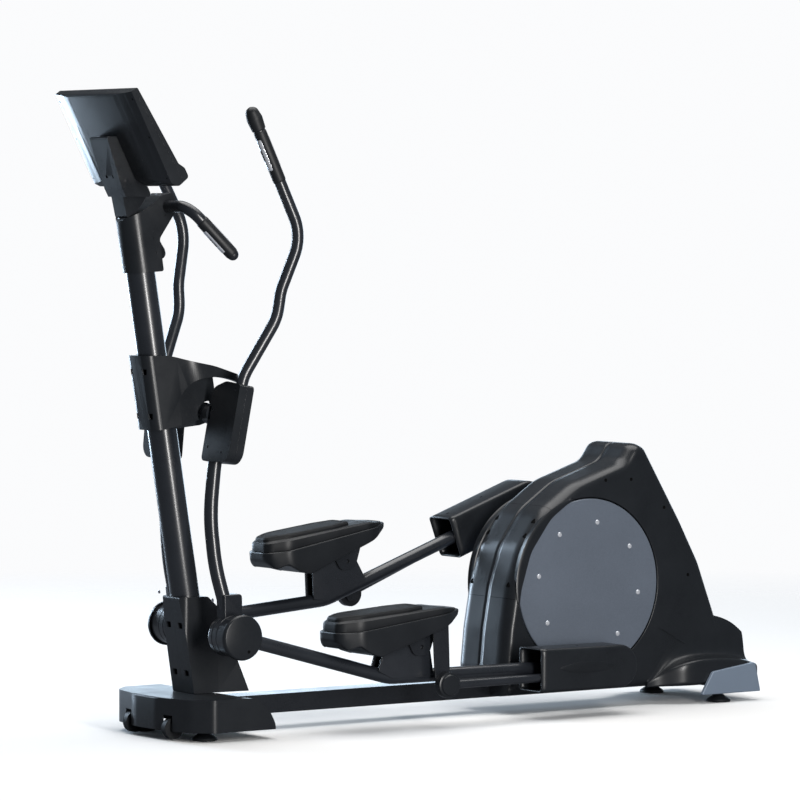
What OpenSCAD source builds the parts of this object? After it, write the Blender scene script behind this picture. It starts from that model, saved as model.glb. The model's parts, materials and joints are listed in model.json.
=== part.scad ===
// Elliptical trainer with a rear crank housing, two swing arms and two pedal levers.
// X runs from the console end to the crank end, Z is up, and the floor is z = 0.

/* [Frame] */
// Length of the main rail
rail_length = 1790; // [1700:10:1850]
// Width of the main rail
rail_width = 80; // [60:1:90]
// Height of the main rail's section
rail_height = 52; // [40:1:60]
// Gap between the floor and the rail
rail_clearance = 46; // [42:1:60]
// Wall of the welded tubes
tube_wall = 3; // [2:0.5:4]
// Distance of each levelling foot from the centre plane
foot_spread = 158; // [140:1:175]

/* [Mast] */
// Diameter of the mast
mast_d = 80; // [70:1:84]
// Forward lean of the mast in degrees
mast_lean = 9; // [6:0.5:11]
// Length of the mast along its axis
mast_length = 1330; // [1290:5:1350]

/* [Swing arms] */
// Height of the swing arm pivot
pivot_height = 875; // [850:1:900]
// Pivot to lower hub, along the arm
arm_drop = 595; // [560:1:610]
// Diameter of the lower swing tube
lower_tube_d = 38; // [32:1:38]
// Diameter of the moving handles
handle_d = 32.5; // [28:0.5:33]
// Diameter of the pivot axle
axle_d = 25; // [20:1:28]
// Radial clearance of a running fit
fit_gap = 0.05; // [0.02:0.01:0.1]
// Width of the arm casing
casing_width = 134; // [124:1:140]
// Length of the arm casing
casing_length = 214; // [200:1:220]

/* [Pedal levers] */
// Diameter of the lever tube
lever_d = 38; // [34:1:40]
// Distance of the lever tube from the centre plane
lever_y = 215; // [210:1:220]
// Diameter of the drums at the front joint
drum_d = 112; // [100:1:118]
// Diameter of the front joint's cap
drum_cap_d = 123; // [119:1:130]

/* [Pedals] */
// Length of a pedal
pedal_length = 412; // [390:1:420]
// Width of a pedal
pedal_width = 165; // [150:1:170]
// Pivot pin diameter of a pedal
pedal_pin_d = 18; // [16:1:22]

/* [Crank] */
// Crank radius, half of the stride
crank_r = 220; // [200:1:225]
// Crank angle from the vertical at rest
crank_phase = 4.3; // [0:0.1:8]
// Diameter of a crank disc
disc_d = 490; // [484:1:500]
// Diameter of the crank shaft
shaft_d = 30; // [25:1:32]
// Radius of the large belt pulley
pulley_r = 160; // [140:1:165]
// Belt ratio from the crank to the flywheel
belt_ratio = 6; // [5:0.5:7]
// Diameter of the flywheel
flywheel_d = 280; // [240:1:290]

/* [Housing] */
// Half width of the crank housing
housing_half = 118; // [112:1:122]
// Wall of the moulded shells
shell_wall = 3; // [2:0.5:4]

/* [Console] */
// Width of the console
console_width = 396; // [360:1:400]
// Height of the console's face
console_height = 285; // [270:1:295]
// Backward tilt of the console's face
console_tilt = 32.5; // [30:0.5:36]

/* [Hidden] */
$fn = 64;
gap = 0.3;
eps = 0.5;
seam = 0.2;

rail_top = rail_clearance + rail_height;
rail_x0 = 30;
rail_x1 = rail_x0 + rail_length;
front_bar_x = rail_x0;
rear_bar_x = rail_x1 - 36;
bar_w = 60;
bar_half = foot_spread + 20;
foot_front_x = 22;
foot_rear_x = rear_bar_x;
foot_stem_r = 6;
foot_pad_r = 36;
foot_travel = 12;

mast_r = mast_d / 2;
mast_foot = [104, 0, rail_top];

pivot = [100, 0, pivot_height];
hub_local = [22, -arm_drop];
arm_reach = norm(hub_local);
casing_in = 95;
casing_out = casing_in + casing_width;
casing_lean = 8.3;
casing_top = 83;
casing_bottom = casing_top - casing_length;
casing_depth = handle_d + 13.5;
casing_wall = 2.5;
hub_in = 62;
hub_out = 150;
lower_y = 130;
handle_y = 200;
drum_in = 153;
drum_mid = lever_y - lever_d / 2 - 0.5;
drum_out = lever_y + lever_d / 2 + 1;
drum_cap_out = drum_out + 13;

crank = [rail_x1 - 477, 0, 358];
lever_length = crank.x - pivot.x;
disc_in = 109;
disc_out = housing_half + 1;
disc_gap = 4;
rivet_ring = 179;
rivet_count = 8;
pin_r = 15;
pin_in = disc_out + 0.5;

cover_in = lever_y - lever_d / 2 - 6;
cover_out = 300;
cover_r = 61;
cover_front = 280;
rod_y = 281;
rod_r = 12;

flywheel = [rail_x1 - 230, 0, 262];
small_pulley_r = pulley_r / belt_ratio;
belt_t = 3;
belt_y0 = 22;
belt_y1 = 40;
idler_r = 22;

pedal_y = 210;
pedal_pin = [586, 11];
pedal_nose = -288;
pedal_tail = pedal_nose + pedal_length;
strut_joint = [62, -105];

wheel_x = -43;
wheel_y = 100;
wheel_r = 29;
wheel_z = wheel_r + 4;

console_top_face = [-209, 0, 1752];
bar_x = -20;
bar_z = 1436;
bar_r = 16;

frame_front = -234.3;
frame_rear = crank.x + 569;
mid_x = (frame_front + frame_rear) / 2;

// Unit vector along v.
function unit(v) = v / norm(v);

// Points of the arc that rounds corner b between a and c with radius r.
function corner_arc(a, b, c, r, n) =
    let (u = unit(a - b), v = unit(c - b), half = acos(u * v) / 2,
         t = r / tan(half), p = b + u * t, q = b + v * t,
         m = b + unit(u + v) * (r / sin(half)),
         a0 = atan2(p.y - m.y, p.x - m.x), a1 = atan2(q.y - m.y, q.x - m.x),
         d = ((a1 - a0 + 540) % 360) - 180)
    [for (i = [0:n]) m + r * [cos(a0 + d * i / n), sin(a0 + d * i / n)]];

// Closed outline whose corners, given as [x, y, radius], are rounded.
function rounded(pts, n = 8) =
    let (k = len(pts))
    [for (i = [0:k - 1])
        let (a = pts[(i + k - 1) % k], b = pts[i], c = pts[(i + 1) % k])
        each (b[2] > 0
            ? corner_arc([a.x, a.y], [b.x, b.y], [c.x, c.y], b[2], n)
            : [[b.x, b.y]])];

// The same outline mirrored in y and joined, for a plan drawn on one side from nose to tail.
function mirrored(pts) =
    concat(pts, [for (i = [len(pts) - 1:-1:0]) [pts[i].x, -pts[i].y, pts[i][2]]]);

// Place a module drawn in the machine's own X so that the box is centred on the origin.
module at_frame() { translate([-mid_x, 0, 0]) children(); }

// side is -1 on the left of the user, who faces the console, and +1 on the right.
module scale_y(side) {
    if (side < 0) mirror([0, 1, 0]) children();
    else children();
}

// Side outline in X and Z, extruded from y0 to y1.
module side_extrude(pts, y0, y1) {
    translate([0, y1, 0]) rotate([90, 0, 0]) linear_extrude(y1 - y0) polygon(pts);
}

// Plan outline in X and Y, extruded from z0 to z1.
module plan_extrude(pts, z0, z1) {
    translate([0, 0, z0]) linear_extrude(z1 - z0) polygon(pts);
}

// Cylinder along Y at [x, z] from y0 to y1.
module y_rod(c, r, y0, y1) {
    translate([c[0], y1, c[1]]) rotate([90, 0, 0]) cylinder(h = y1 - y0, r = r);
}

// Straight round bar from p to q.
module bar(p, q, r) {
    d = q - p;
    translate(p) rotate([0, acos(d.z / norm(d)), atan2(d.y, d.x)])
        cylinder(h = norm(d), r = r);
}

// Centre line through pts, with every inner corner turned into an arc of n steps.
function bent_path(pts, bend_r, n = 6) =
    let (last = len(pts) - 1)
    [for (i = [0:last])
        each ((i == 0 || i == last) ? [pts[i]] :
            let (u = unit(pts[i - 1] - pts[i]), v = unit(pts[i + 1] - pts[i]),
                 turn = 180 - acos(u * v), t = bend_r * tan(turn / 2),
                 c = pts[i] + unit(u + v) * (bend_r / cos(turn / 2)),
                 ex = unit(pts[i] + u * t - c), ey = -u)
            [for (k = [0:n]) c + bend_r * (ex * cos(turn * k / n) + ey * sin(turn * k / n))])];

// Round tube of outer radius r along a bent centre line; up is a direction it never runs along.
module bent_tube(pts, r, bend_r, wall, up = [0, 1, 0], sides = 20) {
    path = bent_path(pts, bend_r);
    m = len(path);
    ring = [for (i = [0:m - 1])
        let (t = unit((i == m - 1 ? path[i] : path[i + 1]) - (i == 0 ? path[i] : path[i - 1])),
             n1 = unit(cross(up, t)), n2 = cross(t, n1))
        [n1, n2]];
    points = [for (q = [r, r - wall], i = [0:m - 1], k = [0:sides - 1])
        path[i] + q * (ring[i][0] * cos(360 * k / sides) + ring[i][1] * sin(360 * k / sides))];
    inner = m * sides;
    walls = [for (i = [0:m - 2], k = [0:sides - 1])
        let (a = i * sides + k, b = i * sides + (k + 1) % sides, c = b + sides, d = a + sides)
        each [[a, d, c], [a, c, b], [a + inner, c + inner, d + inner], [a + inner, b + inner, c + inner]]];
    ends = [for (k = [0:sides - 1])
        let (a = k, b = (k + 1) % sides, z = (m - 1) * sides)
        each [[a, b, b + inner], [a, b + inner, a + inner],
              [a + z, b + z + inner, b + z], [a + z, a + z + inner, b + z + inner]]];
    polyhedron(points, concat(walls, ends));
}

// ---------------------------------------------------------------- linkage
function rot2(v, a) = [v[0] * cos(a) - v[1] * sin(a), v[0] * sin(a) + v[1] * cos(a)];

// Crank pin of a side: the left pin is low, the right pin is high.
function pin_at(side) = [crank.x, crank.z] + side * crank_r * [sin(crank_phase), cos(crank_phase)];

// Lower hub: where the arm's circle meets the lever's circle.
function hub_at(side) =
    let (p = [pivot.x, pivot.z], q = pin_at(side), d = norm(q - p),
         a = (arm_reach * arm_reach - lever_length * lever_length + d * d) / (2 * d),
         h = sqrt(arm_reach * arm_reach - a * a), e = (q - p) / d)
    p + a * e + h * [e[1], -e[0]];

function hub_pick(side) =
    let (p = hub_at(side), q = [pivot.x, pivot.z]) p[1] < q[1] ? p : 2 * q - p;

// Turn of the swing arm from its drawn pose, counter-clockwise with X right and Z up.
function arm_turn(side) =
    let (v = hub_pick(side) - [pivot.x, pivot.z])
    atan2(v[1], v[0]) - atan2(hub_local[1], hub_local[0]);

function lever_turn(side) =
    let (v = pin_at(side) - hub_pick(side)) atan2(v[1], v[0]);

function lever_point(side, p) = hub_pick(side) + rot2(p, lever_turn(side));

// Draw the children, in the arm's own frame about its pivot, where the arm is at rest.
module arm_place(side) {
    at_frame() scale_y(side) translate([pivot.x, 0, pivot.z])
        rotate([0, -arm_turn(side), 0]) children();
}

// Draw the children, in the lever's own frame about the front hub, where the lever is at rest.
module lever_place(side) {
    h = hub_pick(side);
    at_frame() scale_y(side) translate([h[0], 0, h[1]])
        rotate([0, -lever_turn(side), 0]) children();
}

// The right pedal stands on the steeper lever and leans with it a little.
function pedal_turn(side) = 0.17 * (lever_turn(side) - lever_turn(-1));

// Draw the children, in the pedal's own frame about its pin, where the pedal is at rest.
module pedal_place(side) {
    p = lever_point(side, pedal_pin);
    at_frame() scale_y(side) translate([p[0], 0, p[1]]) rotate([0, -pedal_turn(side), 0]) children();
}

// ---------------------------------------------------------------- base frame
module frame_outer(inset) {
    w = rail_width / 2 - inset;
    z0 = rail_clearance + inset;
    h = rail_height - 2 * inset;
    translate([rail_x0, -w, z0]) cube([rail_x1 - rail_x0 - inset, 2 * w, h]);
    for (x = [front_bar_x, rear_bar_x])
        translate([x - bar_w / 2 + inset, -bar_half + inset, z0])
            cube([bar_w - 2 * inset, 2 * (bar_half - inset), h]);
}

module base_frame() {
    color([0.09, 0.1, 0.12]) at_frame() difference() {
        union() {
            difference() {
                frame_outer(0);
                frame_outer(tube_wall);
            }
            for (x = [foot_front_x, foot_rear_x], s = [-1, 1])
                translate([x, s * foot_spread, rail_clearance]) cylinder(h = 26, r = 12);
            for (s = [-1, 1]) drive_plate(s);
        }
        for (x = [foot_front_x, foot_rear_x], s = [-1, 1])
            translate([x, s * foot_spread, rail_clearance - 1])
                cylinder(h = 40, r = foot_stem_r + fit_gap);
        y_rod([crank.x, crank.z], 31, -200, 200);
        y_rod([flywheel.x, flywheel.z], 8, -200, 200);
        y_rod(idler_at(), 6, 0, 200);
    }
}

plate_y = 60;
plate_t = 6;
// Side plate that carries the crank bearings and the flywheel axle.
module drive_plate(s) {
    y0 = s > 0 ? plate_y : -plate_y - plate_t;
    side_extrude(rounded([[crank.x - 130, rail_top - eps, 0], [crank.x - 55, crank.z + 20, 40],
        [crank.x + 20, crank.z + 62, 40], [crank.x + 80, crank.z + 20, 40],
        [flywheel.x + 10, flywheel.z + 40, 30], [flywheel.x + 60, rail_top - eps, 0]]), y0, y0 + plate_t);
    y1 = s > 0 ? rail_width / 2 - tube_wall : -plate_y - plate_t;
    side_extrude([[crank.x - 130, rail_top - eps], [flywheel.x + 60, rail_top - eps],
        [flywheel.x + 60, rail_top + 6], [crank.x - 130, rail_top + 6]],
        y1, y1 + plate_y + plate_t - rail_width / 2 + tube_wall);
}

module mast_tube() {
    color([0.13, 0.14, 0.16]) {
        at_frame() intersection() {
            translate(mast_foot) rotate([0, -mast_lean, 0]) translate([0, 0, -40]) difference() {
                cylinder(h = mast_length + 40, r = mast_r);
                translate([0, 0, -1]) cylinder(h = mast_length + 42, r = mast_r - tube_wall);
            }
            translate([-500, -100, rail_top]) cube([1000, 200, 2000]);
        }
        at_frame() pivot_bracket();
    }
}

// Cheeks behind the mast that hold the pivot axle.
module pivot_bracket() {
    x0 = mast_foot.x - (pivot.z - mast_foot.z) * tan(mast_lean) + mast_r / cos(mast_lean);
    for (s = [-1, 1]) difference() {
        y0 = s > 0 ? 22 : -30;
        side_extrude(rounded([[x0 - 14, pivot.z - 40, 0], [pivot.x - 10, pivot.z - 32, 20],
            [pivot.x + 30, pivot.z - 20, 20], [pivot.x + 30, pivot.z + 26, 20],
            [pivot.x - 10, pivot.z + 32, 20], [x0 - 22, pivot.z + 40, 0]]), y0, y0 + 8);
        y_rod([pivot.x, pivot.z], axle_d / 2 + fit_gap, -60, 60);
    }
}

module pivot_axle() {
    color([0.6, 0.62, 0.65]) at_frame()
        y_rod([pivot.x, pivot.z], axle_d / 2, -hub_out + 8, hub_out - 8);
}

// ---------------------------------------------------------------- front base
boot_top = 378;
module boot_outer(inset) {
    w = mast_r + 14 - inset;
    front = 40 - mast_r + inset;
    rear = 86 + mast_r - inset;
    intersection() {
        side_extrude(rounded([[front + 56, 110, 0], [front + 14, boot_top - inset, 6],
            [rear - 28, boot_top - inset, 10], [rear, 352, 24], [rear + 64, 198, 60],
            [rear + 100, 110, 0]]), -120, 120);
        plan_extrude(rounded(mirrored([[front, w * 0.55, 20], [front + 30, w, 24], [130, w + 4, 40],
            [rear + 104, w + 14, 10]])), 60, 400);
    }
}

module mast_boot(side) {
    color([0.07, 0.075, 0.085]) at_frame() difference() {
        boot_outer(0);
        difference() {
            boot_outer(shell_wall);
            translate([0, 0, boot_top - 2 * shell_wall]) cube([400, 400, 20], center = true);
        }
        translate([0, 0, 90]) cube([800, 400, 50], center = true);
        translate([-100, side > 0 ? -200 : -seam, 0]) cube([400, 200 + seam, 500]);
        translate(mast_foot) rotate([0, -mast_lean, 0]) cylinder(h = 600, r = mast_r + gap);
        for (z = [170, 300]) boot_pocket(side, z);
    }
}

// Screw pocket in the boot's front corner.
module boot_pocket(side, z) {
    x = 96 - mast_r - (z - 110) * 42 / (boot_top - 110);
    translate([x, side * 30, z]) rotate([0, 0, side * 35])
        translate([-12, -9, -8]) cube([18, 18, 16]);
}

base_top = 114;
base_bottom = 26;
// Plan of the front base cover at its lower edge.
base_plan = [[-68, 50, 120], [-44, 180, 60], [8, 231, 30], [210, 231, 12]];
base_side = [[-96, base_bottom, 0], [-66, base_top, 8], [140, base_top, 60], [186, 76, 60],
    [211, base_bottom, 4]];

module base_outer(inset) {
    intersection() {
        plan_extrude(rounded(mirrored([for (p = base_plan)
            [p.x + (p.x < 100 ? inset : -inset), p.y - inset, p[2]]])), base_bottom - 1, base_top + 20);
        side_extrude(rounded([for (p = base_side)
            [p.x + (p.x < 0 ? inset : -inset), p.y - (p.y > base_bottom ? inset : 0), p[2]]]), -300, 300);
    }
}

module base_cover() {
    color([0.075, 0.08, 0.09]) at_frame() difference() {
        base_outer(0);
        base_outer(shell_wall);
        translate([-100, -300, base_bottom - 5]) cube([400, 600, 5]);
        translate([150, -rail_width / 2 - 1, 0]) cube([200, rail_width + 2, rail_top + 1]);
        for (s = [-1, 1]) translate([wheel_x - 60, s * wheel_y - 19, 0]) cube([60 + wheel_r + 4, 38, 68]);
        boot_outer(-1);
        translate(mast_foot) rotate([0, -mast_lean, 0]) cylinder(h = 100, r = mast_r + 1);
    }
}

module wheel_forks() {
    color([0.05, 0.05, 0.055]) at_frame() for (s = [-1, 1], t = [-1, 1]) {
        y = s * wheel_y + t * 11.5;
        difference() {
            side_extrude(rounded([[wheel_x - 13, wheel_z - 13, 13], [wheel_x + 13, wheel_z - 13, 13],
                [front_bar_x - bar_w / 2, rail_clearance + 4, 0],
                [front_bar_x - bar_w / 2, rail_clearance + 40, 0],
                [wheel_x - 4, rail_clearance + 40, 20]]), y - 1.5, y + 1.5);
            y_rod([wheel_x, wheel_z], 4 + fit_gap, y - 5, y + 5);
        }
    }
}

// Both wheels turn on one through axle.
module transport_wheels() {
    color([0.05, 0.05, 0.05]) at_frame() {
        wheel(-1);
        wheel(1);
        y_rod([wheel_x, wheel_z], 4, -wheel_y - 16, wheel_y + 16);
    }
}

module wheel(side) {
    translate([0, side * wheel_y, 0]) {
        difference() {
            y_rod([wheel_x, wheel_z], wheel_r, -9, 9);
            for (s = [-1, 1]) translate([0, s * 9, 0]) y_rod([wheel_x, wheel_z], wheel_r - 8, -1, 1);
        }
        for (s = [-1, 1]) translate([0, s * 15.5, 0]) y_rod([wheel_x, wheel_z], 7, -2, 2);
    }
}

module levelling_foot(x, side) {
    color([0.04, 0.04, 0.045]) at_frame() translate([x, side * foot_spread, 0]) {
        rotate_extrude() polygon([[0, 0], [foot_pad_r - 2, 0], [foot_pad_r, 3], [foot_pad_r - 3, 8],
            [20, 17], [14, 22], [14, 26], [foot_stem_r, 26], [foot_stem_r, rail_clearance + 22],
            [0, rail_clearance + 22]]);
    }
}

// ---------------------------------------------------------------- arm shroud
// Plan in the mast's frame, on one side, from the nose to the wing tip and back.
shroud_plan = [[-mast_r - 12, 0, 0], [-mast_r - 12, mast_r + 10, 26], [20, mast_r + 16, 60],
    [88, mast_r + 22, 80], [182, 130, 3], [188, 122, 3], [150, 76, 30], [140, 0, 0]];
// Side outline with its heights taken from the pivot.
shroud_side = [[-140, -47, 6], [-40, -41, 80], [30, -27, 60], [175, 13, 0], [175, 97, 0],
    [96, 131, 160], [-20, 159, 160], [-140, 159, 6]];
shroud_y = 57;
shroud_arc = 100;

module shroud_outer(inset) {
    intersection() {
        translate(mast_foot) rotate([0, -mast_lean, 0])
            plan_extrude(rounded([for (p = shroud_plan)
                [p.x + (p.x < 60 ? inset : -inset), max(0, p.y - inset), max(p[2] - inset, 0)]]),
                pivot_height - 195, pivot_height + 125);
        side_extrude(rounded([for (p = shroud_side)
            [p.x, pivot_height + p.y + (p.y < 55 ? inset : -inset), p[2]]]), 0, 200);
    }
}

module arm_shroud(side) {
    color([0.085, 0.09, 0.1]) at_frame() scale_y(side) difference() {
        shroud_outer(0);
        difference() {
            shroud_outer(shell_wall);
            y_rod([pivot.x, pivot.z], shroud_arc + shell_wall, shroud_y - shell_wall, 200);
        }
        y_rod([pivot.x, pivot.z], shroud_arc, shroud_y, 200);
        y_rod([pivot.x, pivot.z], 34, -10, 100);
        translate([-300, -1, pivot_height - 175]) cube([700, 1 + seam, 500]);
        translate(mast_foot) rotate([0, -mast_lean, 0]) cylinder(h = mast_length, r = mast_r + gap);
        side_extrude([[-60, pivot_height - 45], [pivot.x + 31, pivot_height - 45],
            [pivot.x + 31, pivot_height + 40], [-60, pivot_height + 40]], -1, 30 + gap);
        for (z = [pivot_height - 5, pivot_height + 115]) shroud_pocket(z);
    }
}

module shroud_pocket(z) {
    x = mast_foot.x - (z - mast_foot.z) * tan(mast_lean) - mast_r - 10;
    translate([x, mast_r - 4, z]) rotate([0, 0, 30]) translate([-14, -8, -8]) cube([18, 16, 16]);
}

// ---------------------------------------------------------------- mast head
head_half = mast_r + 6;
head_side = [[-88 - mast_r, 1256, 6], [-107 - mast_r, 1402, 12], [-112, 1418, 30], [-62, 1448, 30],
    [-38, 1466, 14], [-6, 1474, 10], [10, 1440, 18], [0, 1416, 20], [mast_r - 86, 1350, 20],
    [mast_r - 73, 1262, 6]];

module head_casing() {
    color([0.08, 0.085, 0.095]) at_frame() difference() {
        intersection() {
            side_extrude(rounded(head_side), -head_half, head_half);
            translate(mast_foot) rotate([0, -mast_lean, 0]) union() {
                cylinder(h = 1500, r = head_half);
                translate([0, -head_half, 0]) cube([200, 2 * head_half, 1500]);
            }
        }
        translate(mast_foot) rotate([0, -mast_lean, 0]) cylinder(h = mast_length + gap, r = mast_r + gap);
        y_rod([bar_x, bar_z], bar_r + gap, -60, 60);
        translate([-300, -seam, 1200]) cube([600, 2 * seam, 400]);
        for (s = [-1, 1], p = [[-32, 1412], [-68, 1352], [-60, 1312]])
            translate([0, s * head_half, 0]) y_rod(p, 4, -1.5, 1.5);
    }
}

// Tip and bend of the fixed handlebar on one side.
function bar_end(s) = [97, s * 186, 1307];
function bar_corner(s) = [bar_x, s * 150, bar_z];

module fixed_handlebar() {
    color([0.1, 0.1, 0.11]) at_frame() {
        bent_tube([bar_end(1), bar_corner(1), bar_corner(-1), bar_end(-1)], bar_r, 55, tube_wall, [0, 0, 1]);
        for (s = [-1, 1]) grip_end(s);
    }
}

// Half-round plug that closes an end of the handlebar, with its flat face against the tube.
module grip_end(s) {
    a = bar_end(s);
    u = unit(a - bar_corner(s));
    translate(a + u * gap) rotate([0, acos(u.z), atan2(u.y, u.x)]) intersection() {
        sphere(r = bar_r, $fn = 32);
        cylinder(h = 2 * bar_r, r = 2 * bar_r);
    }
}

// Sensor plates let in on the top and the bottom of both grips.
module pulse_plates() {
    color([0.8, 0.82, 0.85]) at_frame() for (s = [-1, 1]) {
        a = bar_end(s);
        u = unit(bar_corner(s) - a);
        difference() {
            bar(a + u * 28, a + u * 92, bar_r + 2.2);
            bar(a + u * 20, a + u * 100, bar_r + gap);
            translate(a) rotate([0, acos(u.z), atan2(u.y, u.x)]) translate([-200, -9, 0]) mirror([0, 1, 0])
                cube([400, 100, 200]);
            translate(a) rotate([0, acos(u.z), atan2(u.y, u.x)]) translate([-200, 9, 0])
                cube([400, 100, 200]);
        }
    }
}

// ---------------------------------------------------------------- console
// In the console's frame x is the depth from the face, negative towards its back, and z runs up the face.
module console_place() {
    at_frame() translate([console_top_face.x, 0, console_top_face.z])
        rotate([0, -console_tilt, 0]) translate([0, 0, -console_height]) children();
}

console_edge = 34;
console_foot = 58;
console_side = [[0, 46, 8], [0, console_height, 6], [-console_edge, console_height - 2, 8],
    [-console_foot, 30, 26], [-34, -6, 14], [8, -2, 10], [10, 26, 12]];
back_bow = 1090;
back_lean = atan2(console_foot - console_edge, console_height - 32);

module console_block(inset) {
    side_extrude(rounded([for (p = console_side)
        [p.x + (p.x < -10 ? inset : -inset), p.y + (p.y < 100 ? inset : -inset), p[2]]]),
        -console_width / 2 + inset, console_width / 2 - inset);
}

module console_outer(inset) {
    intersection() {
        console_block(inset);
        translate([back_bow + inset - console_foot - 1, 0, 30]) rotate([0, back_lean, 0])
            translate([0, 0, -140]) cylinder(h = 500, r = back_bow, $fn = 360);
    }
}

split = -13;
module console_back() {
    color([0.07, 0.075, 0.085]) console_place() difference() {
        console_outer(0);
        console_outer(shell_wall);
        translate([split, -300, -50]) cube([100, 600, 500]);
        for (s = [-1, 1], z = [30, 150, 262])
            translate([-60, s * (console_width / 2 - 10), z]) rotate([0, 90, 0]) cylinder(h = 60, r = 3);
    }
}

module console_front() {
    color([0.05, 0.055, 0.06]) console_place() difference() {
        console_block(0);
        console_block(shell_wall);
        translate([-200 + split + 2 * seam, -300, -50]) cube([200, 600, 500]);
        translate([-20, -screen_w / 2, screen_z]) cube([60, screen_w, screen_h]);
        translate([-20, -key_w / 2, key_z]) cube([60, key_w, key_h]);
    }
}

screen_w = console_width - 76;
screen_z = 84;
screen_h = 172;
key_w = console_width - 96;
key_z = 30;
key_h = 42;
module console_screen() {
    color([0.02, 0.025, 0.03]) console_place() {
        translate([-6, -screen_w / 2 + gap, screen_z + gap])
            cube([5.4, screen_w - 2 * gap, screen_h - 2 * gap]);
        translate([-6, -key_w / 2 + gap, key_z + gap]) cube([6.4, key_w - 2 * gap, key_h - 2 * gap]);
    }
}

neck_half = head_half;
neck_side = [[-212, 1622, 6], [-164, 1484, 14], [-152, 1462, 8], [-140, 1408, 8], [-132, 1404, 2],
    [-108, 1419, 2], [-74, 1470, 10], [-104, 1530, 10], [-170, 1624, 4]];
module console_neck() {
    color([0.07, 0.075, 0.085]) difference() {
        at_frame() intersection() {
            side_extrude(rounded(neck_side), -neck_half, neck_half);
            union() {
                translate([-300, -neck_half, 1462]) cube([400, 2 * neck_half, 200]);
                translate([-300, -30, 1300]) cube([400, 60, 170]);
            }
        }
        console_place() console_outer(-gap);
        at_frame() side_extrude([for (p = rounded(head_side)) p + [0, gap]], -60, 60);
        at_frame() translate(mast_foot) rotate([0, -mast_lean, 0]) cylinder(h = mast_length + gap, r = mast_r + gap);
        at_frame() y_rod([bar_x, bar_z], bar_r + 2, -60, 60);
        for (y = [-16, 16]) at_frame() translate([-192, y, 1515]) rotate([0, 90, 0]) cylinder(h = 26, r = 4);
    }
}

// ---------------------------------------------------------------- crank housing
// Side outline of the housing, measured from the crank's axis in X: nose, brow, peak and tail.
housing_side = [[-291, 50, 10], [-297, 130, 30], [-286, 238, 120], [-264, 362, 140], [-229, 470, 140],
    [-153, 572, 160], [-37, 650, 160], [127, 704, 60], [169, 764, 34], [212, 744, 26],
    [342, 531, 300], [410, 408, 200], [492, 196, 90], [541, 134, 60], [563, 108, 10], [565, 50, 6]];
housing_mid = [87, 380];
edge_w = 24;
edge_scale = 0.93;

function inset_outline(pts, k, c) = [for (p = pts) c + (p - c) * k];

module housing_solid(shrink) {
    full = inset_outline(rounded(housing_side, 10), shrink, housing_mid);
    w = (1 - shrink) * 400;
    side_extrude(full, 0, housing_half - edge_w);
    translate([housing_mid[0], housing_half - edge_w, housing_mid[1]]) rotate([90, 0, 0]) mirror([0, 0, 1])
        linear_extrude(edge_w - w, scale = edge_scale) translate(-housing_mid) polygon(full);
}

fender_half = bar_half + 6;
fender_side = [[237, 50, 10], [253, 104, 60], [347, 130, 60], [517, 122, 40], [565, 106, 10],
    [567, 50, 6]];
module housing_shell(side) {
    color([0.08, 0.085, 0.095]) at_frame() scale_y(side) difference() {
        translate([crank.x, 0, 0]) union() {
            housing_solid(1);
            side_extrude(rounded(fender_side), 60, fender_half);
        }
        difference() {
            translate([crank.x, 0, 0]) union() {
                housing_solid(0.99);
                side_extrude(rounded([for (p = fender_side) [p.x + (p.x < 360 ? 3 : -3),
                    p.y + (p.y < 60 ? 3 : -3), p[2]]]), 50, fender_half - shell_wall);
            }
            ring_wall();
        }
        y_rod([crank.x, crank.z], disc_d / 2 + disc_gap, disc_in - 8, 200);
        y_rod([crank.x, crank.z], 60, 0, 200);
        translate([crank.x - 343, -1, 0]) cube([1000, rail_width / 2 + 2, rail_top + 1]);
        translate([rear_bar_x - bar_w / 2 - 1, -1, 0]) cube([bar_w + 2, bar_half + 2, rail_top + 1]);
        translate([crank.x - 132, -1, 0]) cube([flywheel.x - crank.x + 196, plate_y + plate_t + 1, rail_top + 8]);
        translate([crank.x - 443, -1, 0]) cube([1200, 1 + seam, 900]);
    }
}

// Wall behind the crank disc that closes the housing's side.
module ring_wall() {
    difference() {
        y_rod([crank.x, crank.z], disc_d / 2 + disc_gap + shell_wall, disc_in - 8 - shell_wall, 200);
        y_rod([crank.x, crank.z], 60, 0, 200);
    }
}

module rear_end_caps() {
    color([0.42, 0.46, 0.52]) at_frame() for (s = [-1, 1]) {
        y0 = s > 0 ? fender_half : -fender_half - 12;
        translate([crank.x, 0, 0])
            side_extrude(rounded([[351, 26, 4], [393, 92, 14], [549, 112, 10], [569, 26, 4]]), y0, y0 + 12);
    }
}

// ---------------------------------------------------------------- drive
module crank_bearings() {
    color([0.55, 0.57, 0.6]) at_frame() for (s = [-1, 1]) difference() {
        y0 = s > 0 ? plate_y - 5 : -plate_y - 11;
        y_rod([crank.x, crank.z], 31, y0, y0 + 16);
        y_rod([crank.x, crank.z], shaft_d / 2 + fit_gap, -100, 100);
    }
}

module crank_shaft() {
    color([0.6, 0.62, 0.65]) at_frame() {
        y_rod([crank.x, crank.z], shaft_d / 2, -disc_in, disc_in);
        for (s = [-1, 1]) {
            y0 = s > 0 ? disc_in - 12 : -disc_in;
            y_rod([crank.x, crank.z], 45, y0, y0 + 12);
        }
    }
}

module crank_pulley() {
    color([0.2, 0.21, 0.22]) at_frame() difference() {
        union() {
            y_rod([crank.x, crank.z], pulley_r, belt_y0 - 1, belt_y1 + 1);
            for (y = [belt_y0 - 4, belt_y1 + 1]) y_rod([crank.x, crank.z], pulley_r + 5, y, y + 3);
        }
        y_rod([crank.x, crank.z], shaft_d / 2, -100, 100);
        for (a = [0:60:300]) rotate_about(crank, a) y_rod([crank.x + 95, crank.z], 32, -100, 100);
    }
}

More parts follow.
